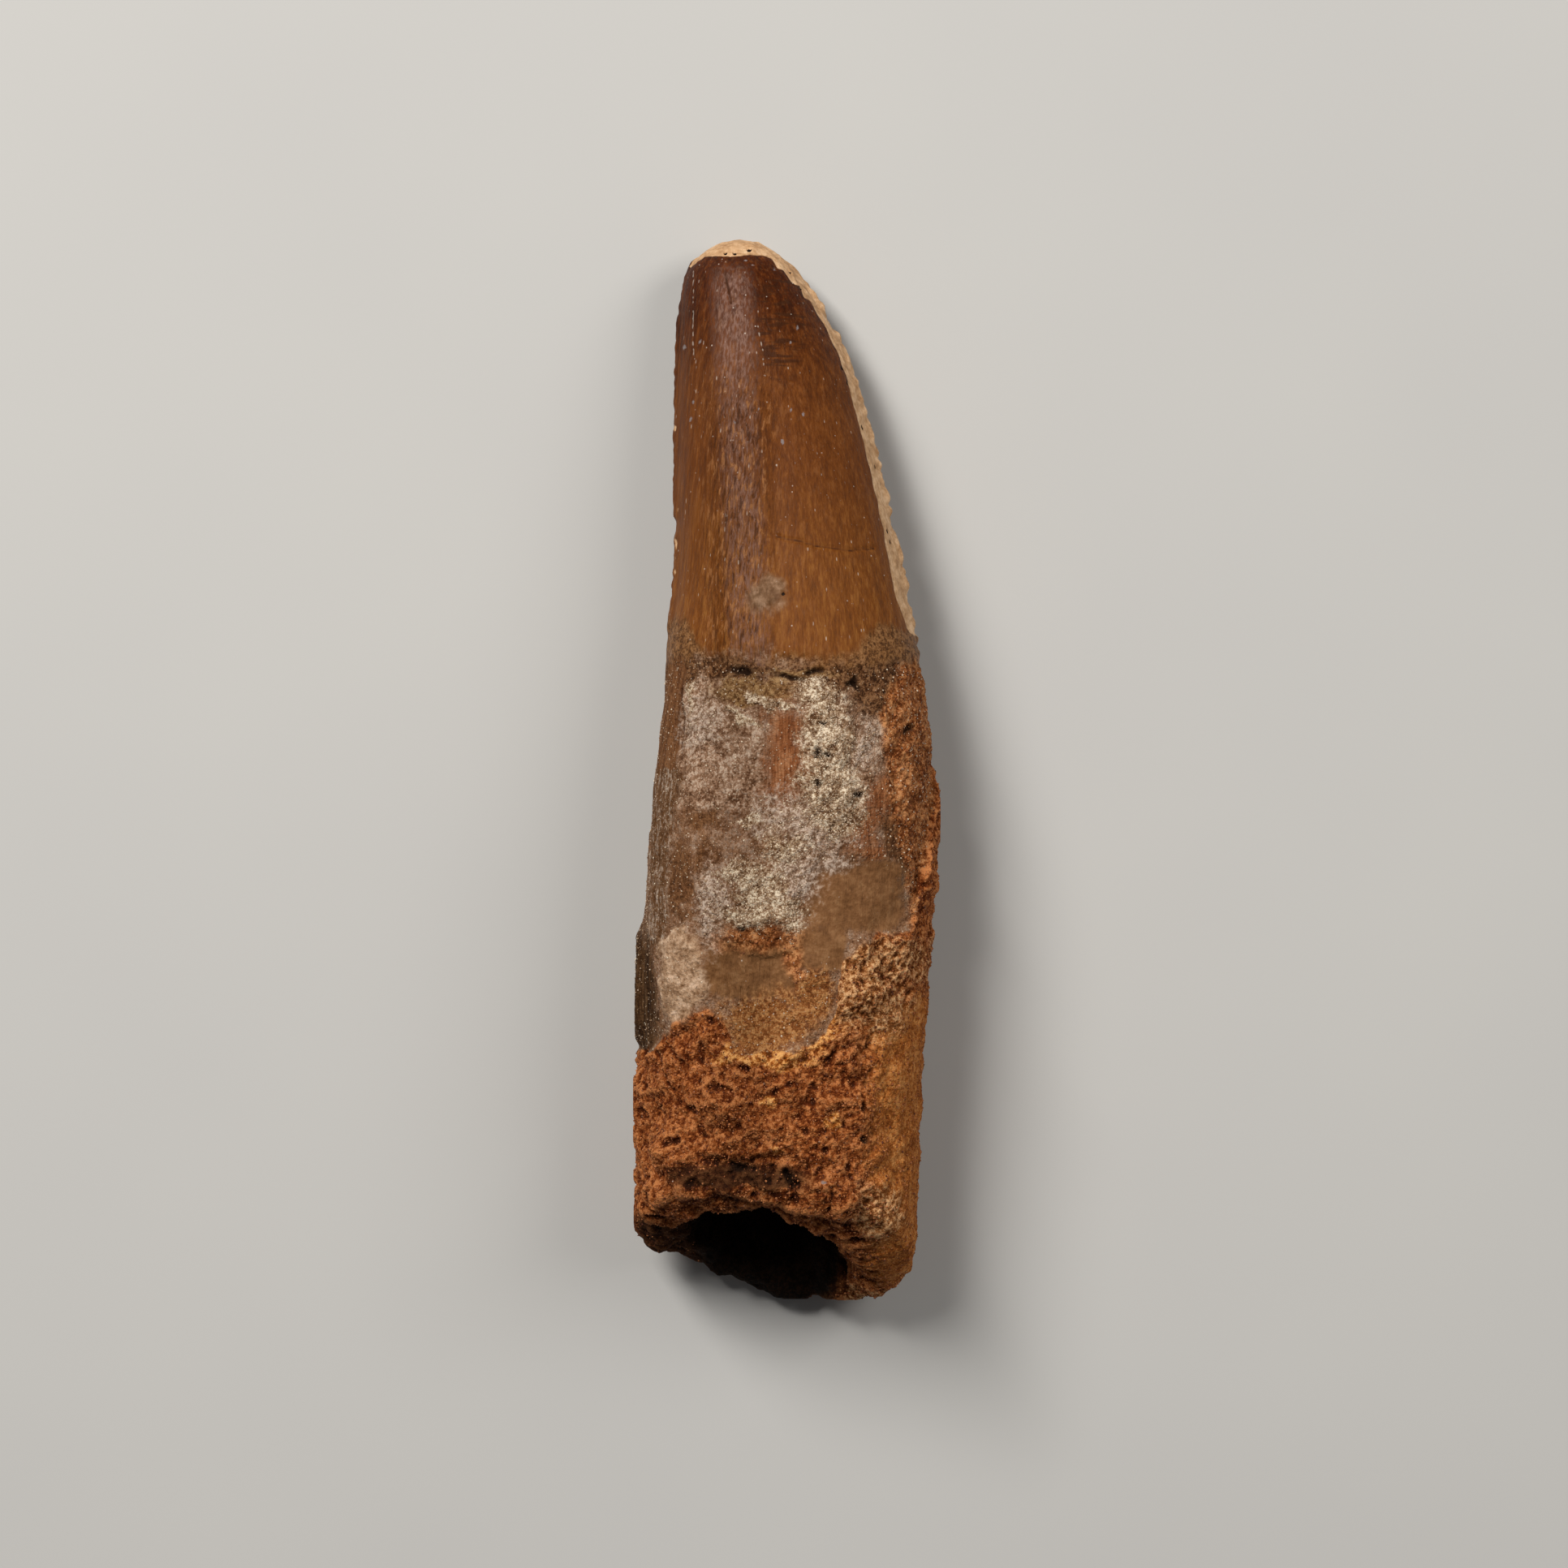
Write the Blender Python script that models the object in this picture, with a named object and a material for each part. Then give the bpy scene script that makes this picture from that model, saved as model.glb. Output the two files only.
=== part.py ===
"""A rooted spinosaur tooth, a fossil of one piece, lying on its side on two small flats.

The worn tip points along +Y and the face with the broken patches looks up, along +Z. The whole skin is one
closed surface: it starts at the tip, runs down the crown and the root, turns over the broken rim and goes up
the hollow of the root. Lengths are in millimetres until make_skin turns them into metres.

Two coordinates say where something is on the tooth. The station is the distance from the tip along the
tooth. The angle, in degrees, goes round it: 0 is the right edge, 90 the top, 180 the left edge and 270 the
underside.
"""

import math

import bmesh
import bpy
import numpy as np
from mathutils import Vector, noise

METRES_PER_MM = 0.001

# Driving dimensions
LENGTH = 110.8
TIP_DOME = 4.0  # how far the worn tip is rounded off
CROWN_END = 44.5  # station where the enamel stops and the root begins
RIM_BULGE = 1.3  # how far the broken end of the wall bulges past its two edges
HOLLOW_APEX = 79.0  # station of the blind end of the hollow

# The outline: (station, place) of the left and right edges in X, and of the underside and top in Z
LEFT_EDGE = ((0, -9.6), (3, -10.1), (6, -10.6), (12, -10.9), (25, -11.1), (37, -11.25), (44, -12.35),
             (56, -13.6), (70, -14.7), (80, -15.1), (90, -14.5), (102, -15.2), (111, -14.6))
RIGHT_EDGE = ((0, 0.4), (3, 1.15), (6, 3.1), (12, 6.4), (20, 8.85), (30, 11.2), (40, 13.3), (50, 15.4),
              (62, 15.4), (75, 14.8), (90, 13.95), (102, 13.65), (111, 12.55))
UNDERSIDE = ((0, 1.6), (4, 0.4), (8, -0.3), (14, -0.3), (28, 0.7), (44, 1.2), (62, 0.5), (76, -0.4),
             (92, -0.5), (104, 0.2), (111, 0.8))
TOP = ((0, 9.2), (4, 11.0), (8, 12.6), (20, 16.6), (32, 19.6), (44, 21.9), (56, 23.6), (68, 24.4),
       (80, 24.6), (92, 24.3), (111, 23.2))

# The section: below 1 is boxier than an ellipse, above 1 is sharper at its left and right edges
EDGE_SHARPNESS = ((0, 1.02), (30, 1.1), (44, 1.04), (60, 0.9), (111, 0.88))
MID_HEIGHT = 0.47  # where the edges are, as a share of the way from the underside to the top

# The rim: (angle, station) where the outer skin ends and where the hollow begins
OUTER_RIM = ((0, 107.4), (20, 105.2), (36, 103.0), (53, 101.2), (75, 99.9), (112, 99.0), (135, 99.2),
             (160, 100.4), (180, 102.4), (205, 104.4), (232, 105.4), (251, 106.9), (270, 108.8),
             (289, 108.9), (326, 109.5), (345, 108.8))
INNER_RIM = ((0, 107.6), (17, 106.4), (53, 103.2), (81, 101.4), (112, 100.4), (150, 101.2), (180, 103.0),
             (205, 104.6), (232, 105.6), (251, 107.1), (270, 109.0), (289, 109.0), (326, 109.5),
             (345, 108.8))
JAGGED = 0.5  # how far the broken edge wanders from those stations
JAG_SIZE = 0.22  # radians

# The hollow of the root at its mouth, and how it narrows
HOLLOW_CENTRE_X = -1.9
HOLLOW_HALF_WIDTH = 9.7
HOLLOW_HALF_HEIGHT = 7.0
HOLLOW_MOUTH = 109.0
HOLLOW_TAPER = 0.5  # 0.5 is a blunt, rounded cone

# The two edges of the crown carry a low keel with chips out of it
KEEL_HEIGHT = 0.5
KEEL_WIDTH = 7.0  # degrees
CHIP_SIZE = 2.6
CHIP_DEPTH = 0.25

# The sandstone that clings to the root: (angle, station) of its upper edge
SAND_EDGE = ((0, 56), (14, 62), (28, 70), (42, 73.4), (62, 74.5), (69, 75.8), (71, 80), (75, 84), (80, 85.2),
             (104, 85.2), (107, 84.5), (110, 81.5), (123, 81.3), (131, 82.3), (150, 84), (180, 84.5),
             (230, 80), (270, 76), (310, 69), (340, 60))
SAND_EDGE_WANDER = 1.5
SAND_STEP = 0.4
SAND_LUMP = 0.75
SAND_LUMP_SIZE = 6
RIGHT_SIDE_SHARE = 0.4  # the sandstone is smoother along the right edge

# Flakes, crusts and fills of the face that is seen: (station, x, half length, half width, height)
UPPER_PATCHES = (
    (37.6, -1.5, 1.9, 2.1, 0.35),  # blob of mud stuck to the crown
    (54.0, 0.0, 5.8, 1.8, -0.4),  # smooth reddish hollow in the root
    (54.0, 4.4, 7.2, 2.5, 0.35),  # cream crust beside it
    (67.0, -2.2, 5.0, 3.4, 0.3),  # cream crust below it
    (69.0, 7.3, 3.9, 5.2, -0.35),  # smooth fill on the right
    (79.0, -2.8, 5.6, 5.2, -0.45),  # smooth fill on the left
    (77.7, -10.7, 5.0, 2.5, 0.4),  # pale flake
    (72.8, -1.8, 2.0, 3.6, 0.35),  # reddish ledge above the left fill
)
HIDDEN_PATCHES = (
    (51.0, -3.0, 5.0, 4.0, 0.4),
    (64.0, 6.0, 5.5, 5.0, -0.4),
    (69.0, -8.0, 4.5, 4.5, 0.35),
)
EDGE_PATCHES = (
    (78.5, 180, 6.4, 3.2, 0.75),  # flake that stands out of the left edge
    (62.2, 0, 3.2, 2.4, 0.35),  # knob on the right edge
)
GROOVE_ABOVE_RIM = (97.4, 104, 1.8, 7.5, -0.7)
PATCH_EDGE_WANDER = 0.7
ENAMEL_STEP = 0.3  # the crown's enamel stands this proud of the root
ENAMEL_EDGE_WANDER = 1.2
ROOT_ROUGHNESS = 0.25
REST_FADE = 2.0  # relief fades out over this height above the floor, so that the two flats stay flat

# The mesh: rings from the tip to the blind end of the hollow, and columns round them
COLUMNS = 60
DOME_RINGS = 4
OUTER_RINGS = 62
RIM_RINGS = 4
HOLLOW_RINGS = 9
RINGS = OUTER_RINGS + RIM_RINGS + HOLLOW_RINGS


def through(points, at):
    """A smooth curve through the (place, value) points, read at every place in at."""
    place, value = np.array(points, float).T
    slope = np.gradient(value, place)
    i = np.clip(np.searchsorted(place, at) - 1, 0, len(place) - 2)
    span = place[i + 1] - place[i]
    t = np.clip((at - place[i]) / span, 0, 1)
    start = (1 + 2 * t) * (1 - t) ** 2 * value[i] + t * (1 - t) ** 2 * span * slope[i]
    end = t**2 * (3 - 2 * t) * value[i + 1] - t**2 * (1 - t) * span * slope[i + 1]
    return start + end


def around(points, angle):
    """The same for a curve that closes on itself after 360 degrees."""
    before = [(place - 360, value) for place, value in points]
    after = [(place + 360, value) for place, value in points]
    return through(before + list(points) + after, np.mod(angle, 360))


def smooth_step(low, high, value):
    """0 below low, 1 above high and a smooth rise between them."""
    t = np.clip((value - low) / (high - low), 0, 1)
    return t * t * (3 - 2 * t)


def turn_between(angle, other):
    """Degrees from other to angle, between -180 and 180."""
    return np.mod(angle - other + 180, 360) - 180


def signed_power(value, power):
    return np.sign(value) * np.abs(value) ** power


def lumps(points, size, shift=0.0):
    """Smooth noise between about -1 and 1 at each point, with lumps about size across."""
    moved = points / size + (shift, 0.7 * shift, 0)
    return np.array([noise.noise(Vector(point)) for point in moved])


def outer_section(station):
    """The middle and the half sizes of the tooth's section at each station."""
    left, right = through(LEFT_EDGE, station), through(RIGHT_EDGE, station)
    low, high = through(UNDERSIDE, station), through(TOP, station)
    dome = np.sqrt(np.clip(1 - (1 - np.minimum(station, TIP_DOME) / TIP_DOME) ** 2, 0, 1))
    middle_x, middle_z = (left + right) / 2, low + MID_HEIGHT * (high - low)
    return middle_x, middle_z, dome * (right - left) / 2, dome * (high - middle_z), dome * (middle_z - low)


def outer_skin(station, angle):
    """Points of the smooth outer skin at these stations and angles."""
    cos, sin = np.cos(np.radians(angle)), np.sin(np.radians(angle))
    middle_x, middle_z, half_width, above, below = outer_section(station)
    sharpness = through(EDGE_SHARPNESS, station)
    x = middle_x + half_width * signed_power(cos, np.minimum(sharpness, 1))
    z = middle_z + np.where(sin > 0, above, below) * signed_power(sin, sharpness)
    return np.stack([x, LENGTH / 2 - station, z], axis=1)


def hollow_skin(station, angle):
    """Points of the smooth wall of the hollow at these stations and angles."""
    depth = np.clip((station - HOLLOW_APEX) / (HOLLOW_MOUTH - HOLLOW_APEX), 0, None) ** HOLLOW_TAPER
    _, middle_z, _, _, _ = outer_section(station)
    x = HOLLOW_CENTRE_X + HOLLOW_HALF_WIDTH * depth * np.cos(np.radians(angle))
    z = middle_z + HOLLOW_HALF_HEIGHT * depth * np.sin(np.radians(angle))
    return np.stack([x, LENGTH / 2 - station, z], axis=1)


def smooth_skin(ring, angle):
    """Points of the whole skin before its relief: the outer skin, then the broken rim, then the hollow."""
    turn = np.radians(angle)
    jagged = JAGGED * lumps(np.stack([np.cos(turn), np.sin(turn), 0 * turn], axis=1), JAG_SIZE)
    outer_end, hollow_start = around(OUTER_RIM, angle) + jagged, around(INNER_RIM, angle) + jagged

    dome = TIP_DOME * (1 - np.cos(math.pi / 2 * np.minimum(ring / DOME_RINGS, 1)))
    along = np.clip((ring - DOME_RINGS) / (OUTER_RINGS - DOME_RINGS), 0, 1)
    points = outer_skin(dome + along * (outer_end - TIP_DOME), angle)

    over = np.clip((ring - OUTER_RINGS) / RIM_RINGS, 0, 1)
    up = np.clip((ring - OUTER_RINGS - RIM_RINGS) / HOLLOW_RINGS, 0, 1)
    inside = hollow_skin(hollow_start + (HOLLOW_APEX - hollow_start) * np.sin(math.pi / 2 * up) ** 1.2, angle)
    points += (inside - points) * over[:, None]
    points[:, 1] -= RIM_BULGE * np.sin(math.pi * over)
    return points


def patch(along, across, height):
    """A low plateau with rounded corners: along and across run from -1 to 1 over it."""
    return height * smooth_step(1.2, 0.8, (np.abs(along) ** 2.5 + np.abs(across) ** 2.5) ** 0.4)


def patch_relief(points, station, angle):
    """The height that the flakes, crusts and fills add at each point."""
    wavy_x = points[:, 0] + PATCH_EDGE_WANDER * lumps(points, 3, 2.2)
    wavy_station = station + PATCH_EDGE_WANDER * lumps(points, 3, 8.8)
    facing_up = np.sin(np.radians(angle))
    total = np.zeros_like(station)
    for patches, on_face in ((UPPER_PATCHES, facing_up > 0.1), (HIDDEN_PATCHES, facing_up < -0.1)):
        for middle, x, half_length, half_width, height in patches:
            total += on_face * patch((wavy_station - middle) / half_length, (wavy_x - x) / half_width, height)
    _, middle_z, _, _, _ = outer_section(station)
    radius = np.hypot(points[:, 0], points[:, 2] - middle_z)
    for middle, at_angle, half_length, half_width, height in EDGE_PATCHES + (GROOVE_ABOVE_RIM,):
        across = np.radians(turn_between(angle, at_angle)) * radius / half_width
        total += patch((wavy_station - middle) / half_length, across, height)
    return total


def keel_relief(station, angle):
    """The keel along both edges of the crown, with chips broken out of it."""
    total = np.zeros_like(station)
    for edge in (0, 180):
        ridge = np.exp(-((turn_between(angle, edge) / KEEL_WIDTH) ** 2))
        along = np.stack([station, 0 * station + edge, 0 * station], axis=1)
        total += ridge * (KEEL_HEIGHT - CHIP_DEPTH * smooth_step(0, 0.4, lumps(along, CHIP_SIZE)))
    return total * smooth_step(1, 5, station) * smooth_step(CROWN_END, CROWN_END - 5, station)


def relief(points, ring, angle):
    """How far the real skin stands out of the smooth one at each point."""
    station = LENGTH / 2 - points[:, 1]
    in_hollow = np.clip((ring - OUTER_RINGS - RIM_RINGS) / HOLLOW_RINGS, 0, 1)
    root = smooth_step(-1, 1, station - CROWN_END + ENAMEL_EDGE_WANDER * lumps(points, 9))
    sand_edge = np.interp(np.mod(angle, 360), *np.array(SAND_EDGE + ((360, SAND_EDGE[0][1]),)).T)
    sand = smooth_step(-0.8, 0.8, station - sand_edge + SAND_EDGE_WANDER * lumps(points, 5, 3.1))

    big, small = np.abs(lumps(points, SAND_LUMP_SIZE, 7.7)), np.abs(lumps(points, SAND_LUMP_SIZE / 2, 1.3))
    from_right = smooth_step(20, 60, np.abs(turn_between(angle, 0)))
    rough_sand = SAND_LUMP * (2 * big + 1.3 * small - 0.9) * (RIGHT_SIDE_SHARE + (1 - RIGHT_SIDE_SHARE) * from_right)
    rough_root = ROOT_ROUGHNESS * lumps(points, 3.4, 4.9) - ENAMEL_STEP
    height = root * (1 - sand) * rough_root + sand * (SAND_STEP + rough_sand)
    height += keel_relief(station, angle) + patch_relief(points, station, angle)
    return height * (1 - in_hollow) * smooth_step(0, REST_FADE, points[:, 2])


def make_skin(bm):
    """Turns the unit sphere in bm, ring by ring from its top pole, into the tooth."""
    ball = np.array([vert.co for vert in bm.verts], float)
    ring = np.round(np.arccos(np.clip(ball[:, 2], -1, 1)) / math.pi * RINGS)
    angle = np.degrees(np.arctan2(-ball[:, 1], ball[:, 0]))
    points = smooth_skin(ring, angle)
    for vert, point in zip(bm.verts, points):
        vert.co = point
    bm.normal_update()
    normals = np.array([vert.normal for vert in bm.verts])
    points += normals * relief(points, ring, angle)[:, None]
    points[:, 2] = np.maximum(points[:, 2], 0)
    for vert, point in zip(bm.verts, points * METRES_PER_MM):
        vert.co = point


def fossil_material():
    material = bpy.data.materials.new("fossil_tooth")
    material.use_nodes = True
    surface = material.node_tree.nodes["Principled BSDF"]
    surface.inputs["Base Color"].default_value = (0.24, 0.11, 0.05, 1)
    surface.inputs["Roughness"].default_value = 0.6
    surface.inputs["Metallic"].default_value = 0.0
    return material


def make_tooth(collection):
    mesh = bpy.data.meshes.new("tooth")
    bm = bmesh.new()
    bmesh.ops.create_uvsphere(bm, u_segments=COLUMNS, v_segments=RINGS, radius=1)
    make_skin(bm)
    bm.to_mesh(mesh)
    bm.free()
    mesh.shade_smooth()
    mesh.set_sharp_from_angle(angle=math.radians(50))
    mesh.materials.append(fossil_material())
    tooth = bpy.data.objects.new("tooth", mesh)
    collection.objects.link(tooth)
    return tooth


def main():
    for obj in list(bpy.data.objects):
        bpy.data.objects.remove(obj)
    collection = bpy.data.collections.new("spinosaur_tooth")
    bpy.context.scene.collection.children.link(collection)
    make_tooth(collection)


main()
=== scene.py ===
"""The looks of a rooted spinosaur tooth.

It has a brown enamel crown, pale dentine at its worn tip and right edge, a granular root with crusts,
fills and flakes, and rusty sandstone over the broken end with its hollow.

The skin repeats the plain solid's formulas and adds the fine relief. Grains lie on it. Lengths are in
millimetres until a mesh is made. The station is the distance from the tip. The angle goes round the
tooth: 0 is the right edge, 90 the top, 180 the left edge and 270 the underside.
"""

import math
from types import SimpleNamespace

import bpy
import numpy as np
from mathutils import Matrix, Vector, noise


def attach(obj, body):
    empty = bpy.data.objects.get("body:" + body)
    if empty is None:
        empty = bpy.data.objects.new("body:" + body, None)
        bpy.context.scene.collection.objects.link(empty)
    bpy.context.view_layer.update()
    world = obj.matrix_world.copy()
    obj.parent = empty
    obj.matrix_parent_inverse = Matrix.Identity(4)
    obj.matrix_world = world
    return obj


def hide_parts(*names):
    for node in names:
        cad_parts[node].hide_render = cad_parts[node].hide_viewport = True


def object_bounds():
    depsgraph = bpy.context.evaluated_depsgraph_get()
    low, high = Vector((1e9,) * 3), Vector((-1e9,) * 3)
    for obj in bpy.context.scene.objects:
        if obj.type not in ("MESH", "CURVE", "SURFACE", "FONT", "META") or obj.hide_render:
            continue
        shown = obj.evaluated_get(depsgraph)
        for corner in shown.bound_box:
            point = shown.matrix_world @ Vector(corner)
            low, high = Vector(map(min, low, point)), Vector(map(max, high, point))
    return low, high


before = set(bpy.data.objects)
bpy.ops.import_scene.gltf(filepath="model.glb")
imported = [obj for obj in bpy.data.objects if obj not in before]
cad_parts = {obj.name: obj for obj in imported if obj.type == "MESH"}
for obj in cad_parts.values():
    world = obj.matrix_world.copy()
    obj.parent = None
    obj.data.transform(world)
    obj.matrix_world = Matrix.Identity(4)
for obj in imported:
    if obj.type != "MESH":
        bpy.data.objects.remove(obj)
CAD_LOW, CAD_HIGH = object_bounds()
METRES_PER_MM = 0.001

# The plain solid's dimensions
LENGTH = 110.8
TIP_DOME = 4.0
CROWN_END = 44.5
RIM_BULGE = 1.3
HOLLOW_APEX = 79.0
LEFT_EDGE = ((0, -9.6), (3, -10.1), (6, -10.6), (12, -10.9), (25, -11.1), (37, -11.25), (44, -12.35),
             (56, -13.6), (70, -14.7), (80, -15.1), (90, -14.5), (102, -15.2), (111, -14.6))
RIGHT_EDGE = ((0, 0.4), (3, 1.15), (6, 3.1), (12, 6.4), (20, 8.85), (30, 11.2), (40, 13.3), (50, 15.4),
              (62, 15.4), (75, 14.8), (90, 13.95), (102, 13.65), (111, 12.55))
UNDERSIDE = ((0, 1.6), (4, 0.4), (8, -0.3), (14, -0.3), (28, 0.7), (44, 1.2), (62, 0.5), (76, -0.4),
             (92, -0.5), (104, 0.2), (111, 0.8))
TOP = ((0, 9.2), (4, 11.0), (8, 12.6), (20, 16.6), (32, 19.6), (44, 21.9), (56, 23.6), (68, 24.4),
       (80, 24.6), (92, 24.3), (111, 23.2))
EDGE_SHARPNESS = ((0, 1.02), (30, 1.1), (44, 1.04), (60, 0.9), (111, 0.88))
MID_HEIGHT = 0.47
OUTER_RIM = ((0, 107.4), (20, 105.2), (36, 103.0), (53, 101.2), (75, 99.9), (112, 99.0), (135, 99.2),
             (160, 100.4), (180, 102.4), (205, 104.4), (232, 105.4), (251, 106.9), (270, 108.8),
             (289, 108.9), (326, 109.5), (345, 108.8))
INNER_RIM = ((0, 107.6), (17, 106.4), (53, 103.2), (81, 101.4), (112, 100.4), (150, 101.2), (180, 103.0),
             (205, 104.6), (232, 105.6), (251, 107.1), (270, 109.0), (289, 109.0), (326, 109.5),
             (345, 108.8))
JAGGED = 0.5
JAG_SIZE = 0.22
HOLLOW_CENTRE_X = -1.9
HOLLOW_HALF_WIDTH = 9.7
HOLLOW_HALF_HEIGHT = 7.0
HOLLOW_MOUTH = 109.0
HOLLOW_TAPER = 0.5
KEEL_HEIGHT = 0.5
KEEL_WIDTH = 7.0
CHIP_SIZE = 2.6
CHIP_DEPTH = 0.25
SAND_EDGE = ((0, 56), (14, 62), (28, 70), (42, 73.4), (62, 74.5), (69, 75.8), (71, 80), (75, 84),
             (80, 85.2), (104, 85.2), (107, 84.5), (110, 81.5), (123, 81.3), (131, 82.3), (150, 84),
             (180, 84.5), (230, 80), (270, 76), (310, 69), (340, 60))
SAND_EDGE_WANDER = 1.5
SAND_STEP = 0.4
SAND_LUMP = 0.75
SAND_LUMP_SIZE = 6
RIGHT_SIDE_SHARE = 0.4

# Flakes, crusts and fills: (station, x, half length, half width, height), with an angle for x on the edges
UPPER_PATCHES = ((54.0, 0.0, 5.8, 1.8, -0.4), (54.0, 4.4, 7.2, 2.5, 0.35), (67.0, -2.2, 5.0, 3.4, 0.3),
                 (69.0, 7.3, 3.9, 5.2, -0.35), (79.0, -2.8, 5.6, 5.2, -0.45),
                 (77.7, -10.7, 5.0, 2.5, 0.4), (72.8, -1.8, 2.0, 3.6, 0.35))
HIDDEN_PATCHES = ((51.0, -3.0, 5.0, 4.0, 0.4), (64.0, 6.0, 5.5, 5.0, -0.4), (69.0, -8.0, 4.5, 4.5, 0.35))
EDGE_PATCHES = ((78.5, 180, 6.4, 3.2, 0.75), (62.2, 0, 3.2, 2.4, 0.35))
GROOVE_ABOVE_RIM = (97.4, 104, 1.8, 7.5, -0.7)
PATCH_EDGE_WANDER = 0.7
ENAMEL_STEP = 0.3
ENAMEL_EDGE_WANDER = 1.2
ROOT_ROUGHNESS = 0.25
REST_FADE = 2.0
DOME_RINGS = 4
OUTER_RINGS = 62
RIM_RINGS = 4
HOLLOW_RINGS = 9
LAST_RING = OUTER_RINGS + RIM_RINGS + HOLLOW_RINGS

# The fine mesh: (first ring, last ring, fine rings between them), and the columns of each half
STRETCHES = ((0, 4, 12), (4, 29, 165), (29, 50, 205), (50, 62, 120), (62, 66, 24), (66, 75, 44))
UPPER_COLUMNS = 290
LOWER_COLUMNS = 150
PIECES = (("fossil_crown", 0, 29), ("fossil_root", 29, 50), ("fossil_matrix", 50, 75))

# The edge of the enamel at the tip, as (x, station), and the dentine strip's width, as (station, width)
TIP_EDGE = ((-12, 4.6), (-10, 3.1), (-8.5, 2.0), (-7.3, 1.8), (-5.6, 2.1), (-3.4, 1.7), (-1.3, 1.9),
            (-0.8, 3.0), (0, 3.5), (0.9, 4.7), (1.7, 5.0), (2.1, 6.2), (3.4, 7.0), (4.4, 8.4))
RIGHT_STRIP = ((0, 0.4), (5, 0.6), (10, 0.75), (20, 0.85), (30, 0.95), (38, 1.1), (41, 0.6), (43, -1),
               (111, -1))

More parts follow.
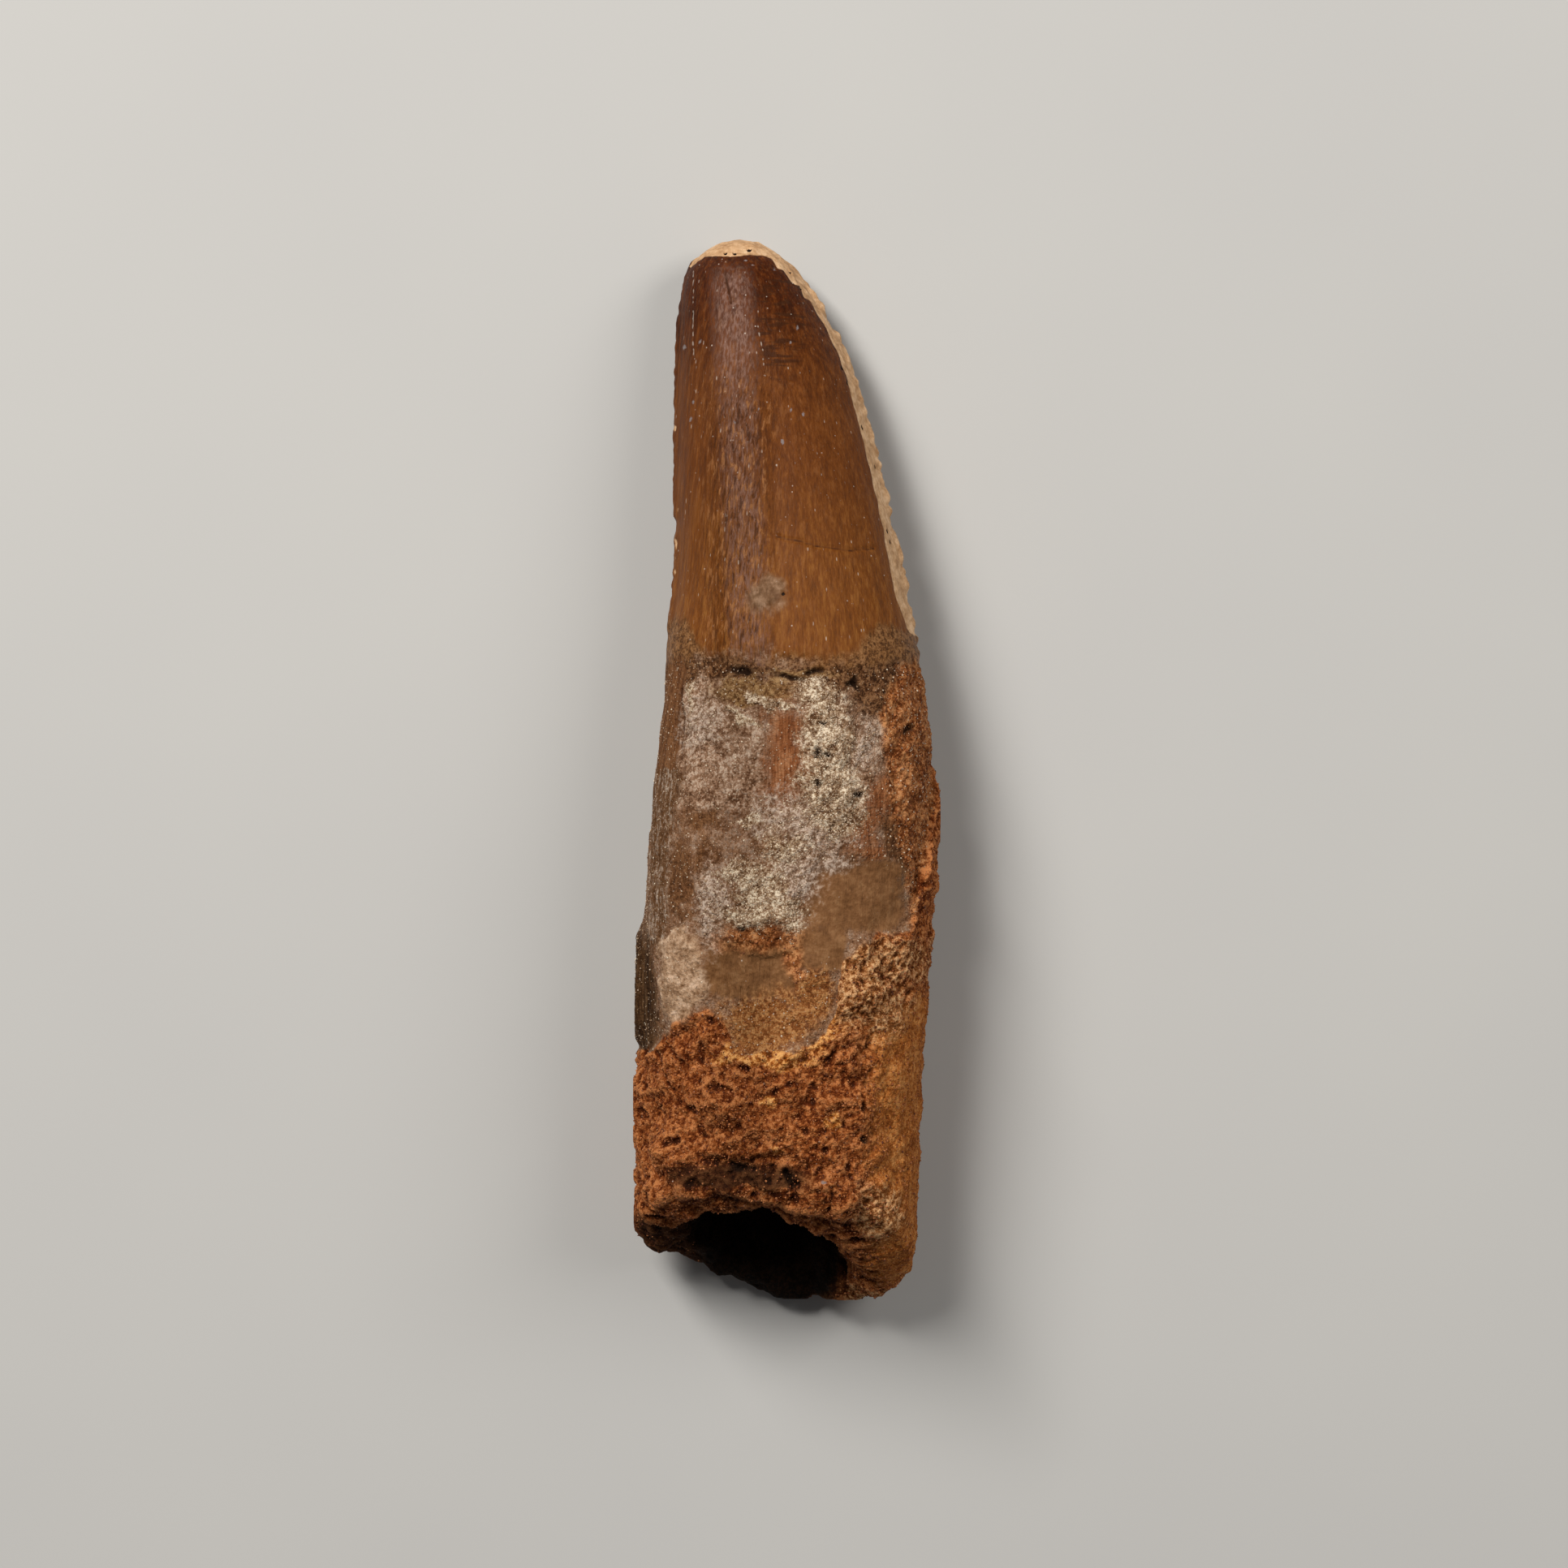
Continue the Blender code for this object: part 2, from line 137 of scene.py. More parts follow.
# Where each look lies on the face that is seen: (station, x, half length, half width, turn in degrees)
SPOTS = {
    "mud": ((38, -1.9, 1.6, 1.9, -14), (36.6, -1.2, 1.2, 1.3, 0)),
    "chalk": ((48.2, 3.6, 1.6, 2.6, 20), (52.6, 4.6, 4.6, 2.5, -4), (57.4, 5, 3.6, 3, 0),
              (60.8, 5.6, 1.8, 2.6, 0), (48.4, -1.6, 0.45, 2.6, 22), (50.2, -4.3, 0.5, 2, 34),
              (63.8, -0.2, 1.6, 2.2, 14), (68.6, -2.4, 2.4, 2.6, 14),
              (66.3, -4, 1.2, 2.2, 0), (70.8, -3.8, 1.4, 2.4, 0), (61, -4, 0.4, 1.4, 0),
              (70.4, 0.8, 1.4, 1.6, 0), (48.2, -10, 1.6, 0.5, 0)),
    "veil": ((60.6, 0.8, 2.4, 4, 0), (66.6, 1.6, 2.6, 2.6, 0), (50.6, -8.6, 2.6, 2, 0),
             (65.2, 4.4, 1, 3.2, 0), (62.6, 3.4, 1.6, 3.4, 0), (69.6, -7.4, 4, 1.3, 0),
             (53, 8.6, 2.2, 1, 0)),
    "red": ((54.2, 0.2, 5.4, 2.1, -3), (52, -0.2, 2.6, 1.2, 0), (58.6, -0.4, 2.4, 2.2, 0),
            (62, 1.2, 0.7, 3.4, -24), (72.4, -2.2, 0.6, 3.2, -6), (74.6, 0.6, 2, 0.8, 0),
            (58.8, 10.2, 2.6, 1.8, 20), (64.2, 9.3, 1.4, 1.2, 0), (61.6, 8.4, 2.6, 1.2, 30)),
    "brown": ((45.1, -5, 1.1, 5, 0), (45.8, 6, 2, 7, 0), (67.4, -10.9, 4.2, 1.6, 0),
              (64.6, -8, 1.6, 1.4, 0), (61, -8.6, 1.2, 2, 0), (72.2, -7.4, 1, 1.2, 0),
              (46.6, 9.9, 4, 3.4, 0), (44.4, -10.4, 2.6, 1.6, 0), (52.4, 12.4, 5, 1.4, 0),
              (61.6, 12.4, 6, 2, 0), (64, 5, 0.8, 2.8, 0)),
    "tan": ((47.4, -3.2, 1.5, 3.8, 0), (45.6, 2, 0.7, 3.4, 0)),
    "fill": ((68.7, 7.5, 3.7, 5.2, 0), (74, 4, 2.4, 2.6, 0), (76.3, -3.4, 2.9, 5, 0)),
    "golden": ((81.8, -1.8, 3.2, 4.8, 0), (79.2, 3, 3, 2.2, 0)),
    "flake": ((77.4, -10.5, 4.8, 2.3, 0), (74.2, -11.2, 2.2, 1.8, 0)),
    "ledge": ((85.4, -1.6, 1, 4.8, 0), (84.6, -5.6, 1.2, 0.9, 0), (82.8, 4.2, 2.2, 1.4, 20),
              (90.2, -1.6, 0.7, 0.9, 0), (92.1, 5.2, 0.9, 0.8, 0), (94.9, -0.7, 0.6, 0.7, 0)),
    "foam": ((75.6, 8.4, 3, 6.4, 0), (79, 5.4, 3.6, 3.2, 10), (80, 10, 3, 2.6, 0),
             (101.5, 9.4, 2.6, 2.4, 0)),
    "rust": ((73.2, -2.4, 1.4, 3.8, -4), (74.8, 0.9, 2.2, 1, 0), (76.8, 1.4, 1.2, 0.6, 20)),
    # the dark spots are fissures and pits, painted with shade
    "dark": ((45.4, -4.6, 0.4, 1.2, 0), (46, 0.2, 0.35, 1.6, 10), (45.4, 3, 0.5, 1.2, -6),
             (46.9, 7.4, 0.8, 0.7, 0), (97.4, 0.6, 0.7, 1, 6), (51.2, 4.2, 0.4, 0.35, 0),
             (53.5, 3.5, 0.55, 0.5, 0), (54, 4.2, 0.4, 0.4, 0), (57.5, 3.3, 0.4, 0.45, 0),
             (58.3, 7.4, 0.4, 0.35, 0), (51.4, 12.8, 0.6, 0.4, 0), (72.4, -4.2, 0.35, 0.6, 0),
             (94.3, 8, 0.5, 0.6, 0), (96.6, -4.6, 0.6, 1.4, 12)),
    "lavender": ((11.4, -10.4, 0.27, 0.18, 0), (11, -8.6, 0.24, 0.12, 20), (17.3, -9.3, 0.21, 0.12, 0),
                 (19.2, -9.7, 0.21, 0.12, 0), (2.5, -4.1, 0.12, 0.18, 0), (3.1, -3.2, 0.12, 0.24, -30),
                 (3.2, -1.1, 0.21, 0.15, 0), (9.7, 1.4, 0.24, 0.15, 0), (11.2, 0.6, 0.18, 0.18, 0),
                 (18.2, -2.6, 0.18, 0.12, 0), (19.6, -5.1, 0.18, 0.12, 0), (98.2, 4, 0.21, 0.24, 0),
                 (18.3, 0.7, 0.18, 0.12, 0), (18.6, 2, 0.24, 0.12, 0), (21.6, -0.1, 0.3, 0.15, 0)),
}
SEEN_ONLY = ("lavender", "dark", "mud", "rust")
CALMER_EDGES = {"dark": 0.9, "mud": 0.7, "lavender": 0.3, "fill": 0.25, "rust": 0.6}

# The small round pores in the dentine, and one in the mud: (station, x, radius)
PORES = ((1.4, -6.1, 0.25), (1.7, -5.1, 0.25), (1.1, -3.6, 0.3), (3.4, 0.8, 0.27), (5.2, 1.8, 0.28),
         (13.8, 6.1, 0.26), (15.3, 6.7, 0.25), (20.0, 8.3, 0.3), (24.1, 9.6, 0.24), (30.8, 10.9, 0.26),
         (32.0, 11.2, 0.26), (37.6, -0.1, 0.2))

# Cracks and scratches of the face that is seen, as chains of (x, station)
CRACKS = (
    ((-0.6, 31.6), (1.2, 31.9), (2.4, 32.2), (3.8, 32.5), (6.7, 33.0), (9.4, 32.7)),
    ((-6.3, 3.4), (-6.0, 4.8), (-5.7, 5.6), (-5.5, 7.0)),
    ((-10.9, 47.2), (-10.7, 50.0), (-10.9, 54.6)),
)
SCRATCHES = (((-9.5, 3.2), (-9.4, 12.8)), ((-2.7, 9.4), (-2.2, 12.0), (-1.8, 15.8)))

# Where the painted shade of the hollow starts, as (angle, ring), and the rusty edge's width, as (station,
# width)
HOLLOW_SHADE_RING = ((0, 68.5), (40, 67.6), (75, 65.5), (90, 65), (150, 65.5), (180, 66), (215, 65.5),
               (240, 63.6), (270, 62.8), (300, 64), (330, 66), (345, 67.5), (360, 68.5))
RUSTY_EDGE = ((44, 1.5), (48, 5.0), (54, 5.6), (60, 4.6), (66, 2.4), (76, 2.6))

# How far the edges of the looks wander in slow and in quick bends: (size of the bends, reach)
SLOW_BENDS = (3.0, 0.8)
QUICK_BENDS = (1.2, 0.5)
FAR_OUTSIDE = -3.0

# The fine relief: heights in millimetres, and how much longer the grain is along the tooth
ALONG_CROWN = (1, 0.16, 1)
ALONG_COLUMN = (1, 0.2, 1)
ALONG_FIBRES = (1, 0.14, 1)
WRINKLE_HEIGHTS = (0.01, 0.12)
ENAMEL_WAVE = 0.05
DENTINE_GRAIN = 0.1
CRUMB_SIZES = (1.3, 0.62)
BAND_GRAIN = 0.04
BED_RISE = 20
HOLE_DEPTH = 0.45
COLUMN_GRAIN = 0.08
DARK_DEPTH = 0.6
PORE_DEPTH = 0.2
MUD_HEIGHT = 0.14
CRACK_DEPTH = 0.14
CRACK_HALF_WIDTH = 0.2
SCRATCH_HALF_WIDTH = 0.12
COMB_STATION = 79.0
COMB_PITCH = 0.85
COMB_HEIGHT = 0.12
FIBRE_HEIGHT = 0.09
EDGE_CHIPS = 0.44
REST_CLEARANCE = 0.6
RELIEF_REACH = 4
RELIEF_SCALE = 0.2

# The grains: (count, smallest, largest, seed)
SAND_GRAINS = (24000, 0.05, 0.17, 11)
CRUST_GRAINS = (18000, 0.04, 0.13, 12)

# Colours to 255 in sRGB of each look: its dark, middle and light tone. Where the pattern that picks them
# holds the relief, the dark tone is painted shade in the hollows and the light one a painted highlight on
# the crests
TONES = {
    "enamel_tip": ((40, 14, 1), (65, 26, 3), (98, 48, 12)),
    "enamel_middle": ((66, 31, 7), (97, 51, 14), (128, 75, 31)),
    "enamel_low": ((80, 42, 10), (114, 64, 20), (146, 96, 44)),
    "crown_foot": ((72, 44, 20), (110, 72, 38), (140, 100, 62)),
    "dentine": ((166, 126, 88), (198, 158, 118), (222, 186, 148)),
    "root": ((86, 56, 36), (142, 109, 85), (188, 164, 144)),
    "brown": ((50, 28, 12), (90, 57, 33), (128, 92, 62)),
    "chalk": ((84, 56, 34), (152, 124, 96), (224, 208, 184)),
    "veil": ((106, 80, 61), (147, 121, 103), (190, 170, 154)),
    "red": ((92, 50, 26), (126, 76, 44), (154, 106, 72)),
    "tan": ((88, 58, 32), (122, 88, 54), (152, 120, 82)),
    "fill": ((100, 66, 38), (120, 82, 50), (138, 100, 66)),
    "golden": ((104, 58, 26), (138, 86, 44), (170, 122, 76)),
    "flake": ((112, 80, 54), (162, 130, 102), (202, 172, 146)),
    "keel": ((36, 20, 8), (64, 41, 21), (96, 70, 46)),
    "frost": ((74, 46, 24), (104, 72, 46), (172, 154, 138)),
    "band": ((78, 46, 24), (108, 70, 42), (134, 94, 62)),
    "rust": ((86, 42, 14), (140, 83, 43), (186, 130, 84)),
    "ledge": ((130, 68, 20), (180, 114, 54), (220, 162, 98)),
    "sand": ((78, 31, 7), (134, 72, 32), (184, 118, 70)),
    "foam": ((92, 48, 16), (154, 100, 56), (208, 162, 116)),
    "column": ((118, 62, 22), (164, 98, 44), (196, 134, 76)),
    # the hollow's tones are painted shade: its inside is dark because little light reaches it
    "hollow": ((10, 5, 2), (20, 11, 5), (34, 19, 9)),
    "mud": ((98, 68, 45), (124, 92, 66), (156, 124, 98)),
}
# painted shade for pores, pits and the band above the hollow's mouth
PIT_SHADE = (30, 17, 9)
PALE_SPECK = (206, 192, 178)
LAVENDER = (132, 124, 124)
# the enamel's own growth lines and cracks, and also painted shade in the wrinkles' creases
STREAK_DARK = (56, 28, 10)
# a painted highlight
SHEEN = (140, 106, 92)
# painted shade in fissures and pits
FISSURE_SHADE = (42, 27, 17)
# a painted highlight on the wrinkles' crests
WRINKLE_HIGHLIGHT = (168, 116, 72)

# The root's looks from the lowest one up: (name, softness, raggedness, pattern that picks its tones)
ROOT_LAYERS = (
    ("brown", 0.4, 1.6, "speckled"), ("tan", 0.3, 1.2, "speckled"), ("band", 0.25, 0.6, "streaked"),
    ("red", 0.5, 1.4, "streaked"), ("fill", 0.12, 0.5, "clouded"), ("veil", 0.6, 2.6, "speckled"),
    ("golden", 0.3, 1.2, "speckled"), ("rust", 0.5, 1.8, "blotched"), ("chalk", 0.4, 2.8, "blotched"),
    ("frost", 0.5, 2.0, "frosty"), ("flake", 0.15, 0.6, "clouded"), ("keel", 0.3, 1.0, "streaked"),
)
ENAMEL_ROUGHNESS = (0.38, 0.52)
MATT = {"dentine": 0.6, "root": 0.82, "sand": 0.92}
FILL_SMOOTHER = 0.3
SPECULAR = 0.08
BUMP_DEPTH = 0.00028


def through(points, at):
    """A smooth curve through the (place, value) points, read at every place in at."""
    place, value = np.array(points, float).T
    slope = np.gradient(value, place)
    i = np.clip(np.searchsorted(place, at) - 1, 0, len(place) - 2)
    span = place[i + 1] - place[i]
    t = np.clip((at - place[i]) / span, 0, 1)
    start = (1 + 2 * t) * (1 - t) ** 2 * value[i] + t * (1 - t) ** 2 * span * slope[i]
    end = t**2 * (3 - 2 * t) * value[i + 1] - t**2 * (1 - t) * span * slope[i + 1]
    return start + end


def around(points, angle):
    """The same for a curve that closes on itself after 360 degrees."""
    before = [(place - 360, value) for place, value in points]
    after = [(place + 360, value) for place, value in points]
    return through(before + list(points) + after, np.mod(angle, 360))


def smooth_step(low, high, value):
    """0 below low, 1 above high and a smooth rise between them."""
    t = np.clip((value - low) / (high - low), 0, 1)
    return t * t * (3 - 2 * t)


def turn_between(angle, other):
    """Degrees from other to angle, between -180 and 180."""
    return np.mod(angle - other + 180, 360) - 180


def signed_power(value, power):
    return np.sign(value) * np.abs(value) ** power


def lumps(points, size, shift=0.0):
    """Smooth noise between about -1 and 1 at each point, with lumps about size across."""
    moved = points / size + (shift, 0.7 * shift, 0)
    return np.array([noise.noise(Vector(point)) for point in moved])


def outer_section(station):
    """The middle and the half sizes of the tooth's section at each station."""
    left, right = through(LEFT_EDGE, station), through(RIGHT_EDGE, station)
    low, high = through(UNDERSIDE, station), through(TOP, station)
    dome = np.sqrt(np.clip(1 - (1 - np.minimum(station, TIP_DOME) / TIP_DOME) ** 2, 0, 1))
    middle_x, middle_z = (left + right) / 2, low + MID_HEIGHT * (high - low)
    return middle_x, middle_z, dome * (right - left) / 2, dome * (high - middle_z), dome * (middle_z - low)


def outer_skin(station, angle):
    """Points of the smooth outer skin at these stations and angles."""
    cos, sin = np.cos(np.radians(angle)), np.sin(np.radians(angle))
    middle_x, middle_z, half_width, above, below = outer_section(station)
    sharpness = through(EDGE_SHARPNESS, station)
    x = middle_x + half_width * signed_power(cos, np.minimum(sharpness, 1))
    z = middle_z + np.where(sin > 0, above, below) * signed_power(sin, sharpness)
    return np.stack([x, LENGTH / 2 - station, z], axis=1)


def hollow_skin(station, angle):
    """Points of the smooth wall of the hollow at these stations and angles."""
    depth = np.clip((station - HOLLOW_APEX) / (HOLLOW_MOUTH - HOLLOW_APEX), 0, None) ** HOLLOW_TAPER
    _, middle_z, _, _, _ = outer_section(station)
    x = HOLLOW_CENTRE_X + HOLLOW_HALF_WIDTH * depth * np.cos(np.radians(angle))
    z = middle_z + HOLLOW_HALF_HEIGHT * depth * np.sin(np.radians(angle))
    return np.stack([x, LENGTH / 2 - station, z], axis=1)


def smooth_skin(ring, angle):
    """Points of the whole skin before its relief: the outer skin, then the broken rim, then the hollow."""
    turn = np.radians(angle)
    jagged = JAGGED * lumps(np.stack([np.cos(turn), np.sin(turn), 0 * turn], axis=1), JAG_SIZE)
    outer_end, hollow_start = around(OUTER_RIM, angle) + jagged, around(INNER_RIM, angle) + jagged

    dome = TIP_DOME * (1 - np.cos(math.pi / 2 * np.minimum(ring / DOME_RINGS, 1)))
    along = np.clip((ring - DOME_RINGS) / (OUTER_RINGS - DOME_RINGS), 0, 1)
    points = outer_skin(dome + along * (outer_end - TIP_DOME), angle)

    over = np.clip((ring - OUTER_RINGS) / RIM_RINGS, 0, 1)
    up = np.clip((ring - OUTER_RINGS - RIM_RINGS) / HOLLOW_RINGS, 0, 1)
    deeper = np.sin(math.pi / 2 * up) ** 1.2
    inside = hollow_skin(hollow_start + (HOLLOW_APEX - hollow_start) * deeper, angle)
    points += (inside - points) * over[:, None]
    points[:, 1] -= RIM_BULGE * np.sin(math.pi * over)
    return points


def patch(along, across, height):
    """A low plateau with rounded corners: along and across run from -1 to 1 over it."""
    return height * smooth_step(1.2, 0.8, (np.abs(along) ** 2.5 + np.abs(across) ** 2.5) ** 0.4)


def patch_relief(points, station, angle):
    """The height that the flakes, crusts and fills add at each point."""
    wavy_x = points[:, 0] + PATCH_EDGE_WANDER * lumps(points, 3, 2.2)
    wavy_station = station + PATCH_EDGE_WANDER * lumps(points, 3, 8.8)
    facing_up = np.sin(np.radians(angle))
    total = np.zeros_like(station)
    for patches, on_face in ((UPPER_PATCHES, facing_up > 0.1), (HIDDEN_PATCHES, facing_up < -0.1)):
        for middle, x, half_length, half_width, height in patches:
            along, across = (wavy_station - middle) / half_length, (wavy_x - x) / half_width
            total += on_face * patch(along, across, height)
    _, middle_z, _, _, _ = outer_section(station)
    radius = np.hypot(points[:, 0], points[:, 2] - middle_z)
    for middle, at_angle, half_length, half_width, height in EDGE_PATCHES + (GROOVE_ABOVE_RIM,):
        across = np.radians(turn_between(angle, at_angle)) * radius / half_width
        total += patch((wavy_station - middle) / half_length, across, height)
    return total


def keel_relief(station, angle):
    """The keel along both edges of the crown, with chips broken out of it."""
    total = np.zeros_like(station)
    for edge in (0, 180):
        ridge = np.exp(-((turn_between(angle, edge) / KEEL_WIDTH) ** 2))
        along = np.stack([station, 0 * station + edge, 0 * station], axis=1)
        total += ridge * (KEEL_HEIGHT - CHIP_DEPTH * smooth_step(0, 0.4, lumps(along, CHIP_SIZE)))
    return total * smooth_step(1, 5, station) * smooth_step(CROWN_END, CROWN_END - 5, station)


def relief_fields(points, angle):
    """The shares of root and sandstone at each point."""
    station = LENGTH / 2 - points[:, 1]
    root = smooth_step(-1, 1, station - CROWN_END + ENAMEL_EDGE_WANDER * lumps(points, 9))
    sand_edge = np.interp(np.mod(angle, 360), *np.array(SAND_EDGE + ((360, SAND_EDGE[0][1]),)).T)
    in_sand = station - sand_edge + SAND_EDGE_WANDER * lumps(points, 5, 3.1)
    return station, root, in_sand


def solid_relief(points, ring, angle):
    """How far the plain solid's relief stands out of the smooth skin."""
    station, root, in_sand = relief_fields(points, angle)
    in_hollow = np.clip((ring - OUTER_RINGS - RIM_RINGS) / HOLLOW_RINGS, 0, 1)
    sand = smooth_step(-0.8, 0.8, in_sand)
    big, small = np.abs(lumps(points, SAND_LUMP_SIZE, 7.7)), np.abs(lumps(points, SAND_LUMP_SIZE / 2, 1.3))
    from_right = smooth_step(20, 60, np.abs(turn_between(angle, 0)))
    share = RIGHT_SIDE_SHARE + (1 - RIGHT_SIDE_SHARE) * from_right
    rough_sand = SAND_LUMP * (2 * big + 1.3 * small - 0.9) * share
    rough_root = ROOT_ROUGHNESS * lumps(points, 3.4, 4.9) - ENAMEL_STEP
    height = root * (1 - sand) * rough_root + sand * (SAND_STEP + rough_sand)
    height += keel_relief(station, angle) + patch_relief(points, station, angle)
    return height * (1 - in_hollow) * smooth_step(0, REST_FADE, points[:, 2])


def grit(points, size, seed):
    """Noise for the finest relief, for all points at once: about -1 to 1, with lumps about size across."""
    rng = np.random.default_rng(seed)
    table = rng.permutation(256)
    slopes = rng.normal(size=(256, 3))
    slopes /= np.linalg.norm(slopes, axis=1)[:, None]
    cell = np.floor(points / size).astype(int)
    offset = points / size - cell
    fade = offset**3 * (offset * (offset * 6 - 15) + 10)
    total = np.zeros(len(points))
    for corner in np.ndindex(2, 2, 2):
        at = (cell + corner) % 256
        key = table[(table[(table[at[:, 0]] + at[:, 1]) % 256] + at[:, 2]) % 256]
        weight = np.prod(np.where(corner, fade, 1 - fade), axis=1)
        total += weight * np.einsum("ij,ij->i", slopes[key], offset - corner)
    return 1.7 * total


def crumbs(points, size):
    """Rounded crumbs packed side by side, each about size across: from about -0.6 in the creases to 0.5."""
    return 0.5 - np.array([noise.voronoi(Vector(point))[0][0] for point in points / size]) ** 1.5


def spot_field(spots, x, station, boxy=2):
    """1 in the middle of the nearest spot, 0 at its edge and less outside. A high boxy squares them."""
    best = np.full_like(x, FAR_OUTSIDE)
    for middle, at_x, half_length, half_width, turn in spots:
        cos, sin = math.cos(math.radians(turn)), math.sin(math.radians(turn))
        across, along = x - at_x, station - middle
        across, along = cos * across + sin * along, cos * along - sin * across
        radius = (np.abs(across / half_width) ** boxy + np.abs(along / half_length) ** boxy) ** (1 / boxy)
        best = np.maximum(best, 1 - radius)
    return best


def pore_field(points, station, up):
    """1 in the middle of each round pore, 0 at its edge and below 0 outside."""
    best = np.full_like(station, FAR_OUTSIDE)
    for at_station, x, radius in PORES:
        middle = points[np.argmin(np.hypot(points[:, 0] - x, station - at_station) + 10 * (up < 0.2))]
        best = np.maximum(best, 1 - np.linalg.norm(points - middle, axis=1) / radius)
    return best


def distance_to_line(line, x, station):
    """How far each point is from a chain of straight lines."""
    best = np.full_like(x, 1e3)
    for (x0, s0), (x1, s1) in zip(line, line[1:]):
        along = (x - x0) * (x1 - x0) + (station - s0) * (s1 - s0)
        t = np.clip(along / ((x1 - x0) ** 2 + (s1 - s0) ** 2), 0, 1)
        best = np.minimum(best, np.hypot(x - x0 - t * (x1 - x0), station - s0 - t * (s1 - s0)))
    return best


def wander(points, slow_seed, quick_seed):
    """Bends that make the edges of the looks ragged."""
    slow, quick = grit(points, SLOW_BENDS[0], slow_seed), grit(points, QUICK_BENDS[0], quick_seed)
    return SLOW_BENDS[1] * slow + QUICK_BENDS[1] * quick


class Place:
    """What the looks need to know of every point of the skin."""

    def __init__(self, points, ring, angle):
        self.points, self.ring, self.angle = points, ring, angle
        self.x = points[:, 0]
        self.station, self.root, self.in_sand = relief_fields(points, angle)
        self.left, self.right = through(LEFT_EDGE, self.station), through(RIGHT_EDGE, self.station)
        self.up = np.sin(np.radians(angle))
        self.seen = self.up > 0.05
        self.wander_x, self.wander_s = wander(points, 1, 2), wander(points, 3, 4)


def add_spots(fields, place):
    """The looks that lie in spots. On the side that isn't in the photograph, noise places them."""
    for number, (name, spots) in enumerate(SPOTS.items()):
        calm = CALMER_EDGES.get(name, 1.0)
        x, station = place.x + calm * place.wander_x, place.station + calm * place.wander_s
        here = spot_field(spots, x, station, 6 if name == "fill" else 2)
        here -= 4 * smooth_step(0.05, -0.5, place.up)
        elsewhere = np.where(place.root > 0.5, 2.6 * grit(place.points, 6.0, 20 + number) - 0.9, -2)
        elsewhere -= 3 * smooth_step(-0.4, 0, place.up)
        fields[name] = here if name in SEEN_ONLY else np.maximum(here, elsewhere)
    fields["pores"] = pore_field(place.points, place.station, place.up)


def dentine_field(place):
    """Dentine at the worn tip, down the right edge and as a thin line on the left edge."""
    x, station = place.x, place.station
    tip_edge = np.where(place.up > 0, np.interp(x, *np.array(TIP_EDGE).T), 2.6 + 0.12 * (x + 4))
    at_tip = tip_edge - station + 0.22 * grit(place.points, 1.3, 5)
    strip = np.interp(station, *np.array(RIGHT_STRIP).T) * (0.7 + 0.3 * place.seen)
    at_right = x - (place.right - strip) + 0.14 * grit(place.points, 1.6, 6)
    thin_line = smooth_step(14, 20, station) * smooth_step(43, 38, station)
    at_left = place.left - x - 0.12 * thin_line - 0.7 * (1 - thin_line) + 0.3 * grit(place.points, 1.1, 7)
    return np.maximum(at_tip, np.maximum(at_right, at_left))


def add_zones(fields, place):
    """The root, the sandstone and its smoother right side, the crown's foot and the hollow."""
    points, x, station, up = place.points, place.x, place.station, place.up
    fields["root"] = station - CROWN_END + ENAMEL_EDGE_WANDER * lumps(points, 9)
    fields["root"] = fields["root"] + grit(points, 1.9, 8) + 0.5 * grit(points, 0.8, 12)
    fields["sand"] = place.in_sand + 0.9 * grit(points, 1.6, 9)
    right_side = x - 9.0 - 0.4 * place.wander_x - 7 * smooth_step(0, -0.5, up)
    fields["column"] = np.minimum(right_side, station - 79.0 + 2 * place.wander_s)
    lower_at_edges = 4 * smooth_step(-7.5, -10.5, x) + 3 * smooth_step(6, 10, x)
    fields["crown_foot"] = (station - 44.0 + lower_at_edges) / 1.5 + 0.4 * place.wander_s
    # this field also says where the hollow's painted shade begins
    fields["hollow"] = place.ring - np.interp(np.mod(place.angle, 360), *np.array(HOLLOW_SHADE_RING).T)


def rim_shade_field(place):
    """Painted shade above the hollow's mouth and on its left lip, where the surface turns away from the
    light.
    """
    ragged_x = place.x + place.wander_x
    from_rim = around(OUTER_RIM, place.angle) - place.station + 0.5 * place.wander_s
    above_mouth = smooth_step(3.6, 1.8, from_rim) * smooth_step(-0.6, 0.8, from_rim)
    above_mouth *= smooth_step(5, 1, ragged_x) * smooth_step(-12.5, -10, ragged_x) * (place.up > 0)
    left_lip = smooth_step(160, 175, place.angle) * smooth_step(260, 235, place.angle)
    return np.maximum(above_mouth, smooth_step(61, 63, place.ring) * left_lip)


def add_edge_looks(fields, place):
    """On the root's left edge a brown band, frost and a dark flake, and on its right edge rust."""
    x, station = place.x, place.station
    from_left = x - place.left
    band = (2.2 - from_left + 0.4 * place.wander_x) * smooth_step(60, 57, station) - 0.01
    fields["band"] = np.where(place.root > 0.3, band, -2)
    width = 0.9 + 0.6 * smooth_step(66, 58, station)
    streak = np.abs(from_left - 1.0 - 0.05 * np.abs(station - 62)) / width
    frosted = (station > 55.5 + 0.6 * place.wander_s) & (station < 74) & (place.up > -0.3)
    fields["frost"] = np.where(frosted, 1 - streak, -2)
    keel_width = 1.5 + 0.9 * smooth_step(74, 84, station)
    keel = np.hypot((station - 79.0) / 7.2, (from_left + 0.3) / keel_width)
    fields["keel"] = np.where(place.in_sand < 1.0, 1 - keel + 0.1 * place.wander_x, -2)
    rusty = np.interp(station, *np.array(RUSTY_EDGE).T)
    fields["rust"] = np.maximum(fields["rust"], x - place.right + rusty + 0.8 * place.wander_x - 0.4)


